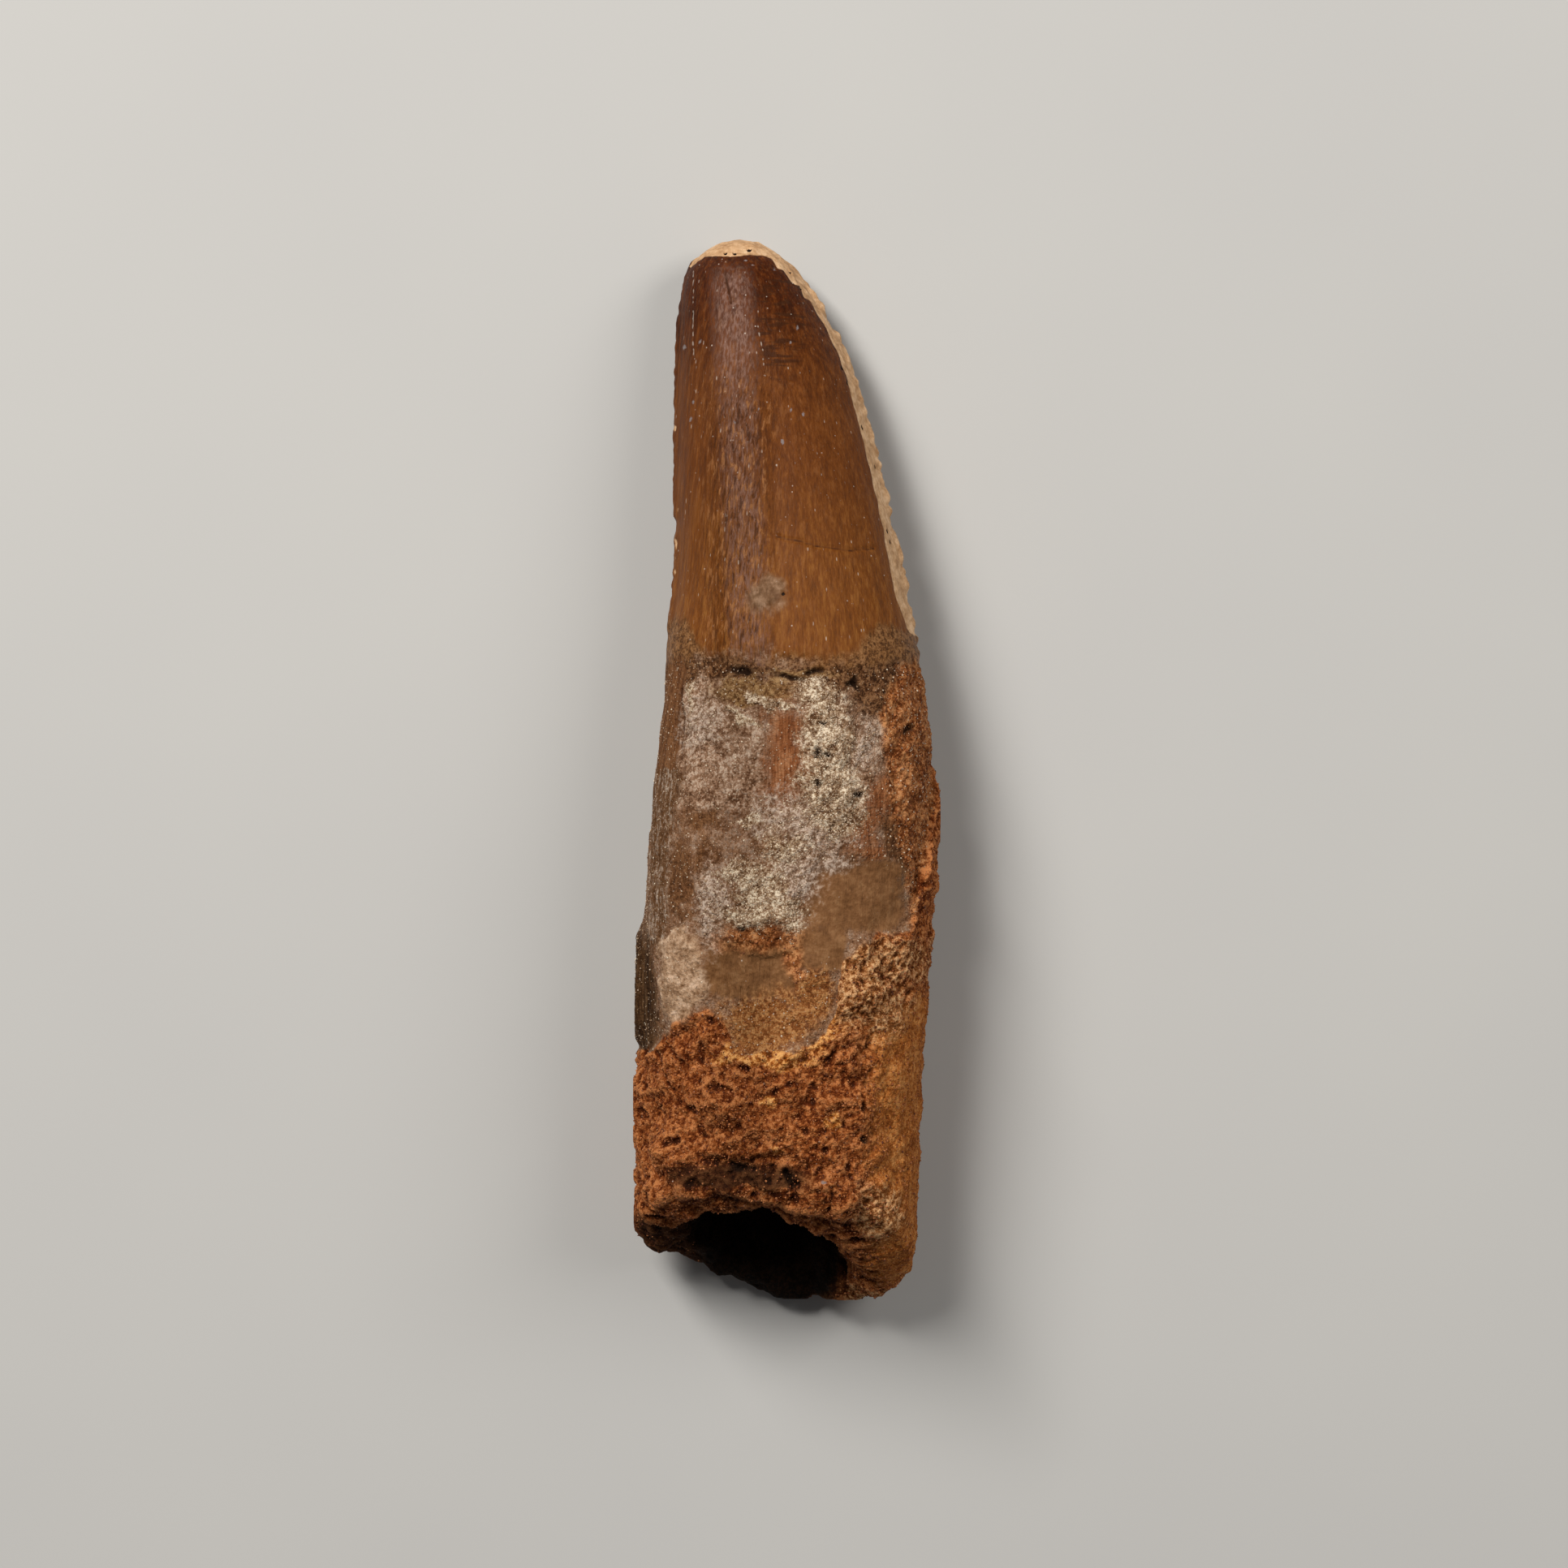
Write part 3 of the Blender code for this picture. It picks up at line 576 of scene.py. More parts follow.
def add_enamel_marks(fields, place):
    """The wrinkles, the painted highlight band, growth lines, scratches and cracks of the face that is seen.
    """
    x, station, seen = place.x, place.station, place.seen
    fields["wrinkled"] = smooth_step(11, 19, station) * smooth_step(5, 1, np.abs(x + 4.6)) * seen
    # a band of painted highlight along the crown, where the soft light's sheen falls
    from_sheen = np.abs(x + 4.9 - 0.05 * (station - 15))
    fields["sheen"] = smooth_step(2.9, 0.8, from_sheen) * smooth_step(2, 5, station) * seen
    fields["lines"] = np.where(seen, 1 - np.hypot((x + 0.2) / 3.2, (station - 9.0) / 7.5), 0)
    scratches = [distance_to_line(line, x + 0.1 * place.wander_x, station) for line in SCRATCHES]
    gaps = grit(place.points, 0.45, 10) > -0.1
    fields["scratch"] = SCRATCH_HALF_WIDTH - np.minimum.reduce(scratches) - SCRATCH_HALF_WIDTH * gaps
    shaken_x, shaken_station = x + 0.12 * place.wander_x, station + 0.12 * place.wander_s
    cracks = [distance_to_line(line, shaken_x, shaken_station) for line in CRACKS]
    fields["crack"] = np.where(seen, CRACK_HALF_WIDTH - np.minimum.reduce(cracks), -1)


def look_fields(points, ring, angle):
    """Where each look lies, as a field that is above 0 inside it, for every point of the skin."""
    place = Place(points, ring, angle)
    fields = {}
    add_spots(fields, place)
    fields["dentine"] = dentine_field(place)
    add_zones(fields, place)
    fields["rim_shade"] = rim_shade_field(place)
    add_edge_looks(fields, place)
    add_enamel_marks(fields, place)
    return place.station, fields


def enamel_relief(points, fields, angle, root):
    """Wrinkles along the crown, deepest on its left half, grainy dentine and chipped edges."""
    along_crown = points * ALONG_CROWN
    dentine = smooth_step(-0.05, 0.05, fields["dentine"]) * (1 - root)
    wrinkles = WRINKLE_HEIGHTS[0] + WRINKLE_HEIGHTS[1] * fields["wrinkled"]
    wrinkles = wrinkles * (grit(along_crown, 0.5, 31) + 0.8 * grit(along_crown, 0.3, 32))
    height = (1 - root) * ((1 - dentine) * wrinkles + ENAMEL_WAVE * grit(along_crown, 1.6, 33))
    height += dentine * DENTINE_GRAIN * (grit(points, 1.0, 34) - 1)
    right, left = turn_between(angle, 0) / 5, turn_between(angle, 180) / 5
    edges = np.exp(-(right**2)) + 0.5 * np.exp(-(left**2))
    return height + (1 - root) * edges * EDGE_CHIPS * (np.abs(grit(points, 1.4, 48)) - 0.4)


def root_relief(points, fields, coarse, middling, clumps, bits):
    """The grain of the bare root, its crusts, its flakes and its rusty edge."""
    calm = np.maximum.reduce([smooth_step(-0.1, 0.2, fields[name]) for name in ("fill", "band")])
    calm = np.maximum(calm, 0.6 * smooth_step(-0.1, 0.2, fields["red"]))
    rust = smooth_step(-0.5, 0.4, fields["rust"])
    calm *= 1 - rust
    crust = smooth_step(-0.3, 0.4, np.maximum(fields["chalk"], 0.6 * fields["veil"]))
    flake, ledge = smooth_step(-0.05, 0.08, fields["flake"]), smooth_step(-0.2, 0.4, fields["ledge"])
    grain = 0.12 * coarse + 0.08 * middling + 0.1 * bits
    height = (1 - 0.85 * calm) * (1 - 0.5 * flake) * grain
    height += calm * BAND_GRAIN * grit(points * ALONG_CROWN, 0.7, 38)
    height += crust * (0.1 + 0.14 * coarse + 0.16 * clumps + 0.12 * bits)
    height += 0.1 * flake + 0.2 * ledge * np.abs(middling)
    height += rust * (0.14 * coarse + 0.1 * middling + 0.12 * bits)
    fibrous = smooth_step(-0.1, 0.2, np.maximum(fields["keel"], fields["frost"]))
    return height + FIBRE_HEIGHT * grit(points * ALONG_FIBRES, 0.5, 47) * fibrous


def sand_relief(points, fields, small, clumps, bits):
    """Strata that rise to the right, crumbs with sharp creases between them, holes, and foamy patches."""
    rise = math.radians(BED_RISE)
    u = points[:, 0] * math.cos(rise) + points[:, 1] * math.sin(rise)
    v = points[:, 1] * math.cos(rise) - points[:, 0] * math.sin(rise)
    bedded = np.stack([0.5 * u, v, points[:, 2]], axis=1)
    layers = 0.45 * grit(bedded, 2.6, 39) + 0.22 * grit(bedded, 1.2, 40) + 0.12 * small
    layers += 0.26 * clumps + 0.24 * bits
    holes = smooth_step(0.36, 0.62, grit(points, 1.9, 42))
    holes += 0.4 * smooth_step(0.4, 0.6, grit(points, 0.9, 43))
    creases = 0.6 * np.abs(grit(points, 1.2, 44)) + 0.5 * np.abs(grit(points, 0.6, 45))
    foam = smooth_step(-0.3, 0.3, fields["foam"])
    rough = (layers - HOLE_DEPTH * holes) * (1 - foam) + 0.7 * (0.3 - creases + 0.16 * bits) * foam
    column = smooth_step(-0.5, 2.0, fields["column"])
    smooth = COLUMN_GRAIN * (grit(points * ALONG_COLUMN, 0.9, 46) + bits)
    return rough * (1 - 0.72 * column) + column * smooth


def fine_relief(points, station, fields, angle):
    """The small relief that the plain solid leaves out."""
    root = smooth_step(-0.3, 0.3, fields["root"])
    sand = smooth_step(-0.5, 0.5, fields["sand"]) * smooth_step(2.0, 0.5, fields["hollow"])
    coarse, middling, small = grit(points, 1.5, 35), grit(points, 0.75, 36), grit(points, 0.45, 37)
    clumps = crumbs(points, CRUMB_SIZES[0])
    bits = crumbs(points + 0.2 * middling[:, None], CRUMB_SIZES[1])

    height = enamel_relief(points, fields, angle, root)
    height += root * (1 - sand) * root_relief(points, fields, coarse, middling, clumps, bits)
    height += sand * sand_relief(points, fields, small, clumps, bits)

    height -= DARK_DEPTH * smooth_step(-0.2, 0.7, fields["dark"] + 0.4 * small + 0.2 * middling)
    height -= PORE_DEPTH * smooth_step(0, 0.5, fields["pores"])
    mud = MUD_HEIGHT * (1 + coarse) + 0.12 * middling
    height += mud * smooth_step(-0.1, 0.6, fields["mud"])
    height -= CRACK_DEPTH * smooth_step(0, 0.14, fields["crack"])

    # a comb of short marks on the lower fill
    comb = np.sin(points[:, 0] * 2 * math.pi / COMB_PITCH + 1.5 * coarse)
    comb *= smooth_step(2.8, 2.2, np.abs(points[:, 0] + 5.0)) * (points[:, 2] > 18)
    height += COMB_HEIGHT * comb * smooth_step(1.1, 0.7, np.abs(station - COMB_STATION))
    return height * smooth_step(0, REST_CLEARANCE, points[:, 2])


def grid_normals(grid):
    """Unit normals of a grid of points, whose second axis closes round the tooth."""
    along = np.gradient(grid, axis=0)
    across = np.roll(grid, -1, axis=1) - np.roll(grid, 1, axis=1)
    normal = np.cross(across, along)
    return normal / np.maximum(np.linalg.norm(normal, axis=2, keepdims=True), 1e-9)


def blurred(grid, reach):
    """The grid's values averaged over reach cells to every side."""
    for axis in (0, 1):
        grid = sum(np.roll(grid, shift, axis=axis) for shift in range(-reach, reach + 1)) / (2 * reach + 1)
    return grid


def make_mesh(name, points, faces, normals=None):
    mesh = bpy.data.meshes.new(name)
    mesh.from_pydata((points * METRES_PER_MM).tolist(), [], faces)
    mesh.update()
    if normals is not None:
        mesh.shade_smooth()
        mesh.normals_split_custom_set_from_vertices(normals.tolist())
    obj = bpy.data.objects.new(name, mesh)
    bpy.context.scene.collection.objects.link(obj)
    return obj


def add_field(obj, name, values):
    attribute = obj.data.attributes.new(name, "FLOAT", "POINT")
    attribute.data.foreach_set("value", np.asarray(values, np.float32))


def inside_solid_box(points):
    low, high = np.array(CAD_LOW) / METRES_PER_MM, np.array(CAD_HIGH) / METRES_PER_MM
    return np.clip(points, low, high)


def make_grid():
    """The points of the fine skin, ring by ring, with their ring numbers and the fields of their looks."""
    rings = np.concatenate([np.linspace(a, b, n, endpoint=False) for a, b, n in STRETCHES])[1:]
    upper = np.linspace(0, 180, UPPER_COLUMNS, endpoint=False)
    angles = np.concatenate([upper, np.linspace(180, 360, LOWER_COLUMNS, endpoint=False)])
    ring, angle = (part.ravel() for part in np.meshgrid(rings, angles, indexing="ij"))
    shape = (len(rings), len(angles))

    points = smooth_skin(ring, angle)
    normals = grid_normals(points.reshape(*shape, 3)).reshape(-1, 3)
    station, fields = look_fields(points, ring, angle)
    in_hollow = np.clip((ring - OUTER_RINGS - RIM_RINGS) / HOLLOW_RINGS, 0, 1)
    fine = fine_relief(points, station, fields, angle) * (1 - 0.7 * in_hollow)
    points = points + normals * (solid_relief(points, ring, angle) + fine)[:, None]
    fields["station"] = station / 100
    fields = {name: values.reshape(shape) for name, values in fields.items()}
    fine = fine.reshape(shape)
    # the fine relief's hollows and crests, which the colour uses for painted shade and painted highlights
    fields["relief"] = np.clip((fine - blurred(fine, RELIEF_REACH)) / RELIEF_SCALE, -1.5, 1.5)
    return inside_solid_box(points).reshape(*shape, 3), rings, fields


def closed_end(points, normals, faces, columns, row, ring, facing):
    """The same piece with one more point, which closes the row of points that starts at row."""
    pole = inside_solid_box(smooth_skin(np.array([float(ring)]), np.zeros(1)))
    beside = [(j + 1) % columns for j in range(columns)]
    fan = [(len(points), row + beside[j], row + j) for j in range(columns)]
    faces = faces + (fan if facing > 0 else [face[::-1] for face in fan])
    return np.vstack([points, pole]), np.vstack([normals, (0, facing, 0)]), faces


def make_skin(grid, rings, fields):
    normals = grid_normals(grid)
    columns = grid.shape[1]
    around_column = (np.arange(columns) + 1) % columns
    material = fossil_material()
    for name, first_ring, last_ring in PIECES:
        first = np.searchsorted(rings, first_ring)
        last = min(np.searchsorted(rings, last_ring), len(rings) - 1)
        rows = np.arange(last - first) * columns
        here = rows[:, None] + np.arange(columns)
        beside = rows[:, None] + around_column
        faces = np.stack([here, beside, beside + columns, here + columns], axis=-1).reshape(-1, 4).tolist()
        points = grid[first : last + 1].reshape(-1, 3)
        directions = normals[first : last + 1].reshape(-1, 3)
        end_rows = []
        if first == 0:
            points, directions, faces = closed_end(points, directions, faces, columns, 0, 0, 1)
            end_rows.append(0)
        if last == len(rings) - 1:
            row = len(points) - columns
            points, directions, faces = closed_end(points, directions, faces, columns, row, LAST_RING, -1)
            end_rows.append(-1)
        piece = make_mesh(name, points, faces, directions)
        for field, values in fields.items():
            ends = [values[end_row].mean() for end_row in end_rows]
            add_field(piece, field, np.append(values[first : last + 1].ravel(), ends))
        piece.data.materials.append(material)
        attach(piece, "root")
        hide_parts("tooth")


def scatter_grains(name, grid, share, kind, tones):
    """Small faceted grains half sunk in the skin, more of them where share is higher."""
    count, low, high, seed = kind
    rng = np.random.default_rng(seed)
    along, across = grid[1:] - grid[:-1], np.roll(grid, -1, axis=1)[:-1] - grid[:-1]
    area = np.linalg.norm(np.cross(across, along), axis=2) * share[:-1]
    cells = rng.choice(area.size, count, p=area.ravel() / area.sum())
    i, j = np.unravel_index(cells, area.shape)
    place = grid[i, j] + rng.random((count, 1)) * along[i, j] + rng.random((count, 1)) * across[i, j]

    size = low + (high - low) * rng.random(count) ** 3
    corners = np.kron(np.eye(3), [[1], [-1]])
    turned = np.linalg.qr(rng.normal(size=(count, 3, 3)))[0]
    turned *= np.sign(np.linalg.det(turned))[:, None, None]
    reach = size[:, None] * (0.6 + 0.8 * rng.random((count, 6)))
    points = place[:, None] + np.einsum("nij,kj->nki", turned, corners) * reach[:, :, None]
    sides = ((0, 2, 4), (2, 1, 4), (1, 3, 4), (3, 0, 4), (2, 0, 5), (1, 2, 5), (3, 1, 5), (0, 3, 5))
    faces = (np.arange(count)[:, None, None] * 6 + np.array(sides)).reshape(-1, 3)
    grains = make_mesh(name, inside_solid_box(points.reshape(-1, 3)), faces.tolist())
    add_field(grains, "tone", np.repeat(rng.random(count), 6))
    grains.data.materials.append(grain_material(name, tones))
    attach(grains, "root")


def linear(colour):
    """Blender's linear colour of a 0 to 255 sRGB one."""
    parts = [c / 255 for c in colour]
    return (*[c / 12.92 if c <= 0.04045 else ((c + 0.055) / 1.055) ** 2.4 for c in parts], 1)


class Nodes:
    """Short calls for the node tree of one material."""

    def __init__(self, name):
        self.material = bpy.data.materials.new(name)
        self.material.use_nodes = True
        self.tree = self.material.node_tree
        self.surface = self.tree.nodes["Principled BSDF"]

    def add(self, kind, inputs=(), output=0, **settings):
        node = self.tree.nodes.new("ShaderNode" + kind)
        for key, value in settings.items():
            setattr(node, key, value)
        for key, value in dict(inputs).items():
            self.feed(node.inputs[key], value)
        return node.outputs[output]

    def feed(self, socket, value):
        if isinstance(value, bpy.types.NodeSocket):
            self.tree.links.new(value, socket)
        else:
            socket.default_value = value

    def millimetres(self, stretch=(1, 1, 1)):
        where = self.add("TexCoord", output=3)
        return self.add("Mapping", {0: where, 3: [part / METRES_PER_MM for part in stretch]})

    def noise(self, per_mm, detail=3, stretch=(1, 1, 1), rough=0.55):
        place = self.millimetres(stretch)
        return self.add("TexNoise", {"Vector": place, "Scale": per_mm, "Detail": detail, "Roughness": rough})

    def cells(self, per_mm):
        """For packed crumbs: the distance from the middle of each, and a random value of each."""
        node = self.add("TexVoronoi", {"Vector": self.millimetres(), "Scale": per_mm}).node
        return node.outputs["Distance"], node.outputs["Color"]

    def math(self, operation, a, b=0.0, c=0.0):
        return self.add("Math", {0: a, 1: b, 2: c}, operation=operation)

    def product(self, a, b):
        return self.math("MULTIPLY", a, b)

    def total(self, start, *parts):
        """The start plus each part's value times its weight."""
        for value, weight in parts:
            start = self.math("MULTIPLY_ADD", value, weight, start)
        return start

    def ramp(self, value, low, high, to_low=0.0, to_high=1.0):
        inputs = {0: value, 1: low, 2: high, 3: to_low, 4: to_high}
        return self.add("MapRange", inputs, interpolation_type="SMOOTHSTEP")

    def mix(self, factor, a, b):
        return self.add("Mix", {0: factor, 6: a, 7: b}, output=2, data_type="RGBA")

    def over(self, colour, *layers):
        """The colour with each layer's tone mixed over it by the layer's factor."""
        for factor, tone in layers:
            colour = self.mix(factor, colour, linear(tone) if isinstance(tone, tuple) else tone)
        return colour

    def field(self, name):
        return self.add("Attribute", output=2, attribute_name=name)

    def inside(self, name, soft, ragged, pattern):
        """1 inside the named field, with an edge as soft as said and made ragged by the pattern."""
        shift = self.total(-ragged / 2, (pattern, ragged))
        return self.ramp(self.math("ADD", self.field(name), shift), -soft, soft)

    def tones(self, name, value, spread=0.16):
        """The three tones of one look, picked by a value around 0.5."""
        ramp = self.tree.nodes.new("ShaderNodeValToRGB")
        stops = ramp.color_ramp.elements
        stops.new(0.5)
        for stop, place, colour in zip(stops, (0.5 - spread, 0.5, 0.5 + spread), TONES[name]):
            stop.position, stop.color = place, linear(colour)
        self.feed(ramp.inputs[0], value)
        return ramp.outputs[0]

    def look(self, name, soft, ragged, edge, pick, spread=0.16):
        """One look as a layer: where it lies, and its tones."""
        return self.inside(name, soft, ragged, edge), self.tones(name, pick, spread)


def fossil_patterns(n):
    """The patterns that pick the tones: specks for rough looks, streaks for smooth ones."""
    p = SimpleNamespace(mid=n.noise(0.8), grain=n.noise(2.4, 4), fine=n.noise(6.5, 3))
    p.streaks = n.noise(1.0, 5, (1.6, 0.09, 1.6), 0.6)
    p.hairs = n.noise(1.0, 4, (4.6, 0.6, 4.6), 0.62)
    p.relief = n.field("relief")
    (p.crumb, crumb_tone), (p.bit, bit_tone) = n.cells(2.6), n.cells(5.2)
    specks = n.total(-0.525, (crumb_tone, 0.3), (bit_tone, 0.25), (p.grain, 0.9), (p.fine, 0.6))
    # the relief added to the specks paints shade into the hollows and light onto the crests
    p.speckled = n.total(specks, (p.relief, 0.13))
    p.cratered = n.total(specks, (p.relief, 0.22))
    p.streaked = n.total(-0.2, (p.hairs, 0.7), (p.streaks, 0.7))
    p.blotched = n.total(-0.325, (n.noise(0.45, 4, rough=0.7), 0.9), (specks, 0.75))
    p.clouded = n.total(-0.1, (p.mid, 0.7), (p.grain, 0.5))
    p.frosty = n.total(0.0, (p.streaked, 0.6), (p.blotched, 0.4))
    p.edge = n.total(0.0, (p.mid, 0.5), (p.grain, 0.5))
    p.broken = n.total(-0.05, (n.noise(1.3, 5, rough=0.7), 0.6), (p.fine, 0.5))
    p.is_root, p.is_sand = n.inside("root", 0.3, 0.6, p.grain), n.inside("sand", 0.3, 0.6, p.grain)
    return p


def crown_colour(n, p):
    station = n.field("station")
    tip, middle = n.tones("enamel_tip", p.streaked, 0.22), n.tones("enamel_middle", p.streaked, 0.34)
    sheen_streaks = n.ramp(p.hairs, 0.35, 0.6, 0.7, 0.12)
    creases = n.noise(1.0, 3, (2.6, 0.4, 2.6), 0.65)
    wrinkled = n.total(0.1, (n.field("wrinkled"), 0.55))
    dashes = n.add("TexVoronoi", {"Vector": n.millimetres((2.0, 0.5, 2.0)), "Scale": 0.8})
    growth = n.ramp(n.noise(1.0, 2, (0.3, 1.7, 0.3)), 0.5, 0.6)
    return n.over(
        n.mix(n.ramp(n.total(station, (p.streaks, 0.1)), 0.09, 0.25), tip, middle),
        (n.ramp(station, 0.22, 0.4), n.tones("enamel_low", p.streaked, 0.28)),
        n.look("crown_foot", 0.5, 2.0, p.streaks, p.speckled),
        # painted highlight: the sheen band, broken by the hairs
        (n.product(n.field("sheen"), sheen_streaks), SHEEN),
        # painted shade in the wrinkles' creases and painted highlight on their crests
        (n.product(n.ramp(creases, 0.53, 0.64), wrinkled), STREAK_DARK),
        (n.product(n.ramp(creases, 0.46, 0.36), wrinkled), WRINKLE_HIGHLIGHT),
        (n.product(n.ramp(dashes, 0.13, 0.08), n.ramp(p.streaks, 0.47, 0.6, 0, 0.5)), PALE_SPECK),
        (n.product(growth, n.ramp(n.field("lines"), 0, 0.4, 0, 0.8)), STREAK_DARK),
        n.look("dentine", 0.05, 0.1, p.grain, p.clouded),
    )


def root_colour(n, p):
    layers = [
        n.look(name, soft, ragged, p.broken if name == "chalk" else p.edge, getattr(p, pick))
        for name, soft, ragged, pick in ROOT_LAYERS
    ]
    return n.over(n.tones("root", p.blotched, 0.2), *layers)


def sand_colour(n, p):
    return n.over(
        n.tones("sand", n.total(-0.25, (p.cratered, 1.0), (n.noise(0.22, 2), 0.5)), 0.22),
        n.look("column", 1.5, 1.5, p.edge, p.blotched, 0.2),
        n.look("foam", 0.4, 1.6, p.edge, p.cratered, 0.2),
        n.look("ledge", 0.3, 1.6, p.edge, p.cratered),
    )


def with_marks(n, p, colour):
    """The colour with mud, fissures and pores with painted shade in them, specks, painted shade above the
    hollow's mouth and in the relief's pits, cracks, scratches and the painted shade of the hollow over it.
    """
    pit_shade_weight = n.total(0.0, (p.is_sand, 0.3), (p.is_root, 0.3))
    dot, dot_tone = n.cells(1.5)
    dots = n.ramp(n.total(dot, (dot_tone, -0.16)), 0.03, -0.03)
    dots = n.product(dots, n.ramp(p.mid, 0.5, 0.62, 0.02, 0.6))
    return n.over(
        colour,
        n.look("mud", 0.4, 0.8, p.edge, p.clouded),
        # painted shade in the fissures and pits
        (n.product(n.inside("dark", 0.6, 2.0, p.edge), 0.85), FISSURE_SHADE),
        # painted shade inside the pores
        (n.inside("pores", 0.2, 0.2, p.grain), PIT_SHADE),
        (n.product(n.inside("lavender", 0.3, 1.6, p.fine), 0.8), LAVENDER),
        # painted shade above the hollow's mouth and on its left lip
        (n.ramp(n.field("rim_shade"), 0, 1, 0, 0.82), PIT_SHADE),
        (n.product(n.ramp(n.field("crack"), 0.04, 0.15), n.ramp(p.mid, 0.4, 0.6, 0.3, 0.85)), STREAK_DARK),
        (n.ramp(n.field("scratch"), 0.0, 0.1, 0, 0.45), PALE_SPECK),
        # painted shade in the deepest hollows of the root's and sand's relief
        (n.product(n.ramp(p.relief, -0.6, -1.5), pit_shade_weight), PIT_SHADE),
        # painted shade inside the hollow
        n.look("hollow", 1.2, 1.2, p.edge, p.speckled),
        (n.product(dots, n.ramp(n.field("hollow"), 0.5, -0.5)), PALE_SPECK),
    )


def fossil_material():
    n = Nodes("fossil")
    p = fossil_patterns(n)
    colour = n.mix(n.inside("root", 0.8, 3.0, p.edge), crown_colour(n, p), root_colour(n, p))
    colour = n.mix(n.inside("sand", 0.3, 1.2, p.edge), colour, sand_colour(n, p))
    n.feed(n.surface.inputs["Base Color"], with_marks(n, p, colour))

    is_fill = n.inside("fill", 0.12, 0.5, p.edge)
    root_matt = n.total(MATT["root"], (is_fill, -FILL_SMOOTHER))
    rough = n.ramp(p.hairs, 0.3, 0.7, *ENAMEL_ROUGHNESS)
    for here, matt in ((n.inside("dentine", 0.05, 0.12, p.grain), MATT["dentine"]),
                       (p.is_root, root_matt), (p.is_sand, MATT["sand"])):
        rough = n.math("MAXIMUM", rough, n.product(here, matt))
    n.feed(n.surface.inputs["Roughness"], rough)
    n.feed(n.surface.inputs["Specular IOR Level"], SPECULAR)

    height = n.product(n.total(0.0, (p.grain, 0.7), (p.bit, -0.25), (p.crumb, -0.4)), p.is_root)
    height = n.product(height, n.total(1.0, (is_fill, -0.75)))
    height = n.math("MULTIPLY_ADD", p.hairs, n.total(0.3, (n.field("wrinkled"), 1.4)), height)
    bump = n.add("Bump", {"Strength": 1.0, "Distance": BUMP_DEPTH, "Height": height})
    n.feed(n.surface.inputs["Normal"], bump)
    return n.material


def grain_material(name, tones):
    n = Nodes(name)
    ramp = n.tree.nodes.new("ShaderNodeValToRGB")
    ramp.color_ramp.interpolation = "CONSTANT"
    while len(ramp.color_ramp.elements) < len(tones):
        ramp.color_ramp.elements.new(0.5)
    for i, (element, tone) in enumerate(zip(ramp.color_ramp.elements, tones)):
        element.position, element.color = i / len(tones), linear(tone)
    n.feed(ramp.inputs[0], n.field("tone"))
    colour = n.mix(n.ramp(n.noise(3.0), 0.35, 0.7, 0, 0.5), ramp.outputs[0], linear(tones[0]))
    n.feed(n.surface.inputs["Base Color"], colour)
    n.feed(n.surface.inputs["Roughness"], n.ramp(n.noise(2.0), 0.3, 0.7, 0.7, 0.95))
    return n.material


def make_tooth():
    grid, rings, fields = make_grid()
    make_skin(grid, rings, fields)

    outside = (fields["hollow"] < 0.3) * smooth_step(0.5, 1.2, grid[:, :, 2])
    sandy = smooth_step(-0.3, 0.8, fields["sand"]) * (1 - 0.6 * smooth_step(0, 2, fields["column"]))
    # fewer grains where shade is painted above the mouth, so that it stays dark
    sandy *= 1 - 0.9 * fields["rim_shade"]
    rusty = 0.35 * smooth_step(-0.3, 0.6, fields["rust"]) * (fields["root"] > 1)
    chalky = smooth_step(-0.3, 0.6, fields["chalk"]) + 0.5 * smooth_step(-0.3, 0.6, fields["veil"])
    crusty = (chalky + 0.08) * (fields["sand"] < 0) * (fields["root"] > 0.3) * (fields["fill"] < 0)
    sand, chalk, foam = TONES["sand"], TONES["chalk"], TONES["foam"]
    scatter_grains("sand_grains", grid, np.maximum(sandy, rusty) * outside, SAND_GRAINS,
                   (sand[1], sand[2], sand[1], foam[1], sand[0], sand[2]))
    scatter_grains("crust_grains", grid, crusty * outside, CRUST_GRAINS,
                   (chalk[1], chalk[2], chalk[1], TONES["root"][2]))


# The picture: the camera looks straight down with a long lens, with soft light from the upper left
PHOTO_SIDE = 1932
MM_PER_PIXEL = 0.0847  # at the height of the tooth's left and right edges
EDGE_HEIGHT = 12.0
CAMERA_DISTANCE = 1100.0
CAMERA_AIM = (0.04, -1.78)
SENSOR = 36.0

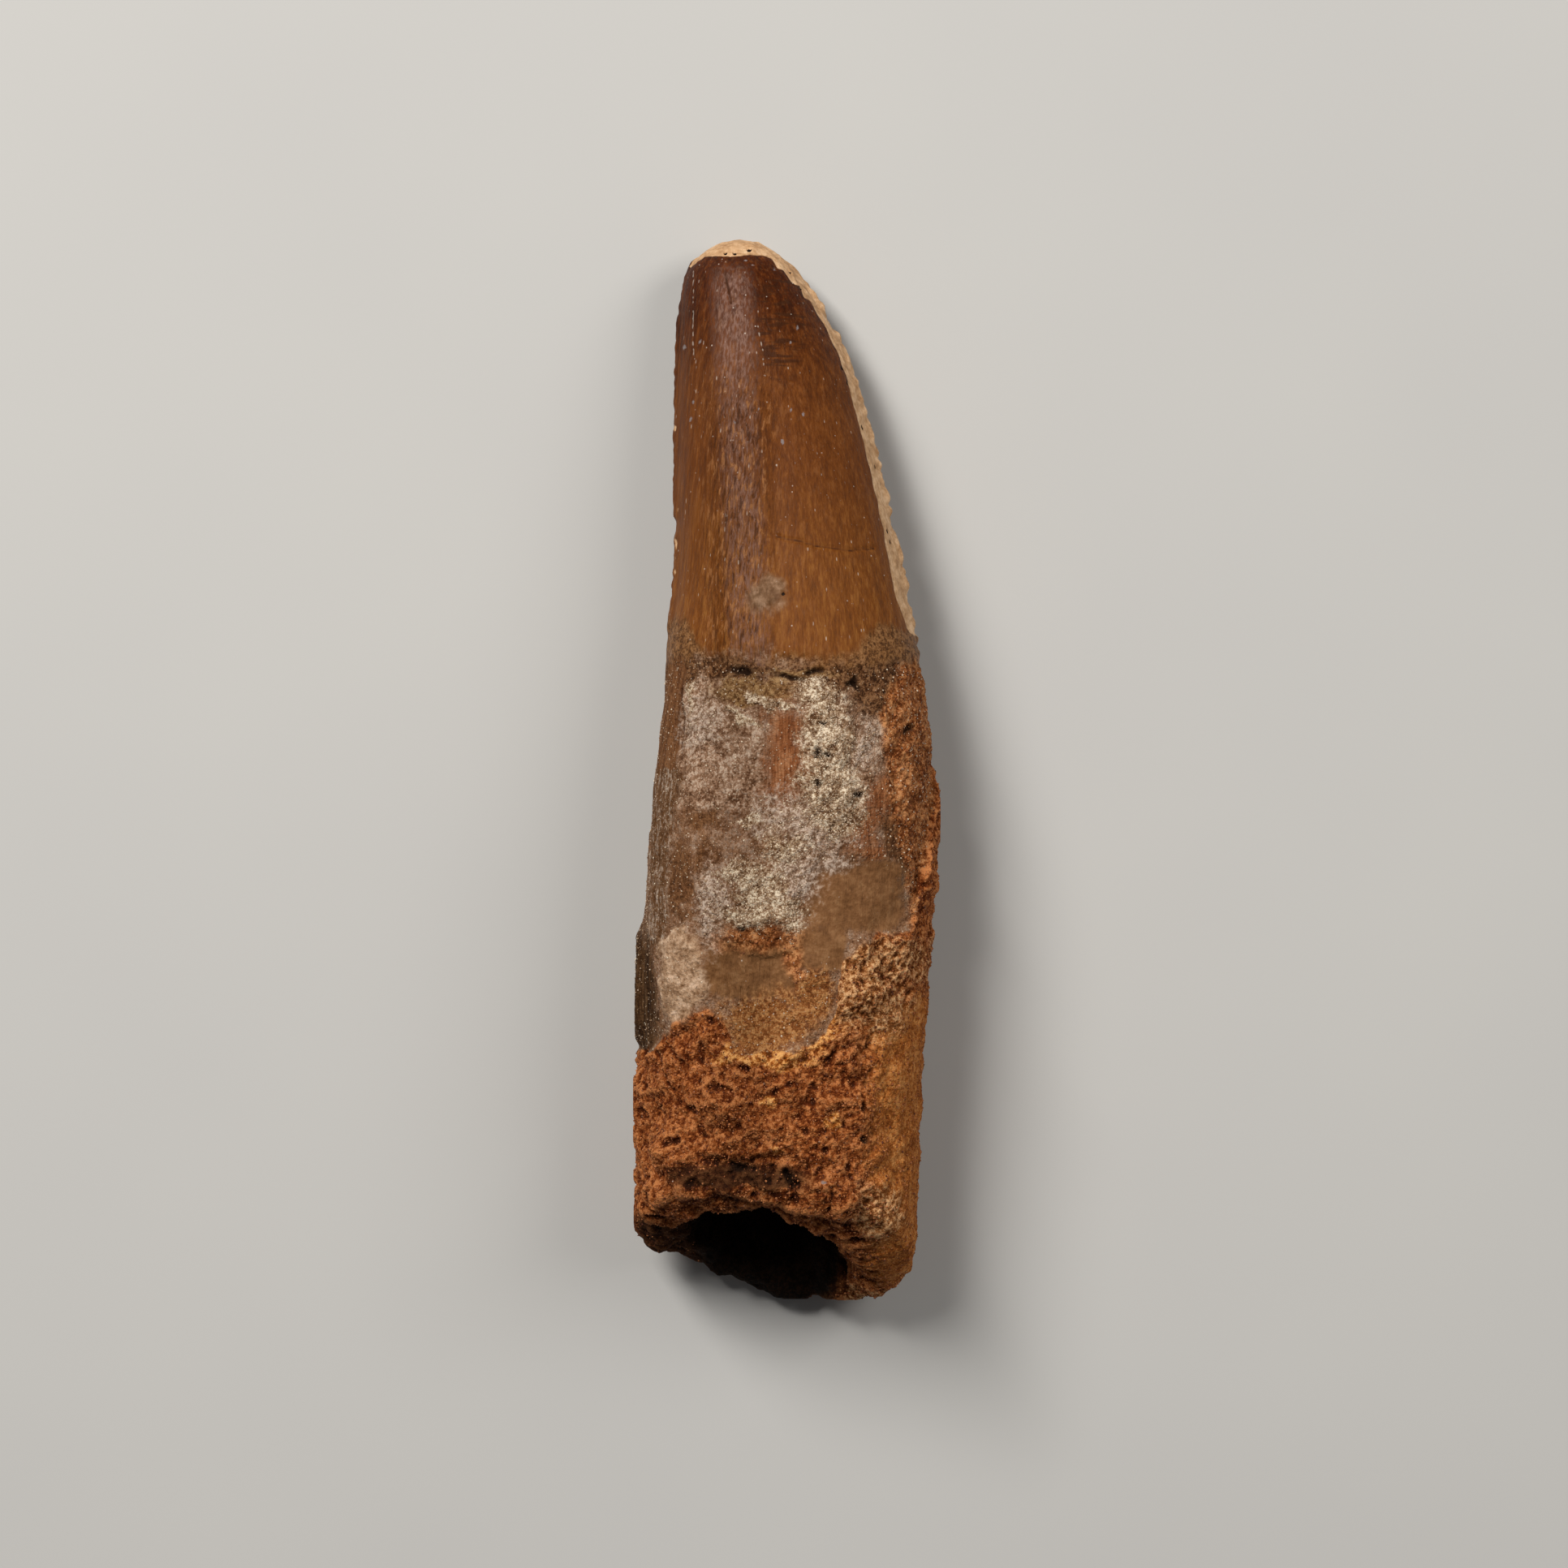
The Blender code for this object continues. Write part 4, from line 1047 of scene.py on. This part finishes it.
# The studio, in metres: each light's place, size and power in watts, all aimed at the tooth
KEY_LIGHT = ((-0.34, 0.42, 0.64), (0.2, 0.5), 7.4)
FILL_LIGHT = ((0.5, 0.28, 0.6), (0.3, 0.5), 2.6)
WARM_WHITE = (1.0, 0.96, 0.9)
ROOM_GREY = (0.08, 0.08, 0.08, 1)
FLOOR_SIDE = 4
FLOOR_TONES = ((0.5, 0.5, 0.5, 1), (0.54, 0.54, 0.53, 1))
FLOOR_ROUGHNESS = 0.85


def make_camera():
    camera = bpy.data.cameras.new("camera")
    camera.sensor_width = SENSOR
    camera.lens = SENSOR * CAMERA_DISTANCE / (PHOTO_SIDE * MM_PER_PIXEL)
    camera.clip_start, camera.clip_end = 0.05, 20
    obj = bpy.data.objects.new("camera", camera)
    obj.location = Vector((*CAMERA_AIM, EDGE_HEIGHT + CAMERA_DISTANCE)) * METRES_PER_MM
    bpy.context.scene.collection.objects.link(obj)
    bpy.context.scene.camera = obj


def make_light(name, place, size, power):
    light = bpy.data.lights.new(name, "AREA")
    light.shape, light.size, light.size_y = "RECTANGLE", *size
    light.energy, light.color = power, WARM_WHITE
    obj = bpy.data.objects.new(name, light)
    obj.location = place
    obj.rotation_euler = (-Vector(place)).to_track_quat("-Z", "Y").to_euler()
    bpy.context.scene.collection.objects.link(obj)


def make_stage():
    bpy.ops.mesh.primitive_plane_add(size=FLOOR_SIDE)
    floor = bpy.context.object
    floor.name = "floor"
    n = Nodes("pale_floor")
    n.feed(n.surface.inputs["Base Color"], n.mix(n.noise(0.02, 2), *FLOOR_TONES))
    n.feed(n.surface.inputs["Roughness"], FLOOR_ROUGHNESS)
    floor.data.materials.append(n.material)

    make_light("key", *KEY_LIGHT)
    make_light("fill", *FILL_LIGHT)
    world = bpy.data.worlds.new("studio")
    world.use_nodes = True
    world.node_tree.nodes["Background"].inputs[0].default_value = ROOM_GREY
    bpy.context.scene.world = world
    bpy.context.scene.view_settings.view_transform = "Standard"


make_tooth()
make_stage()
make_camera()
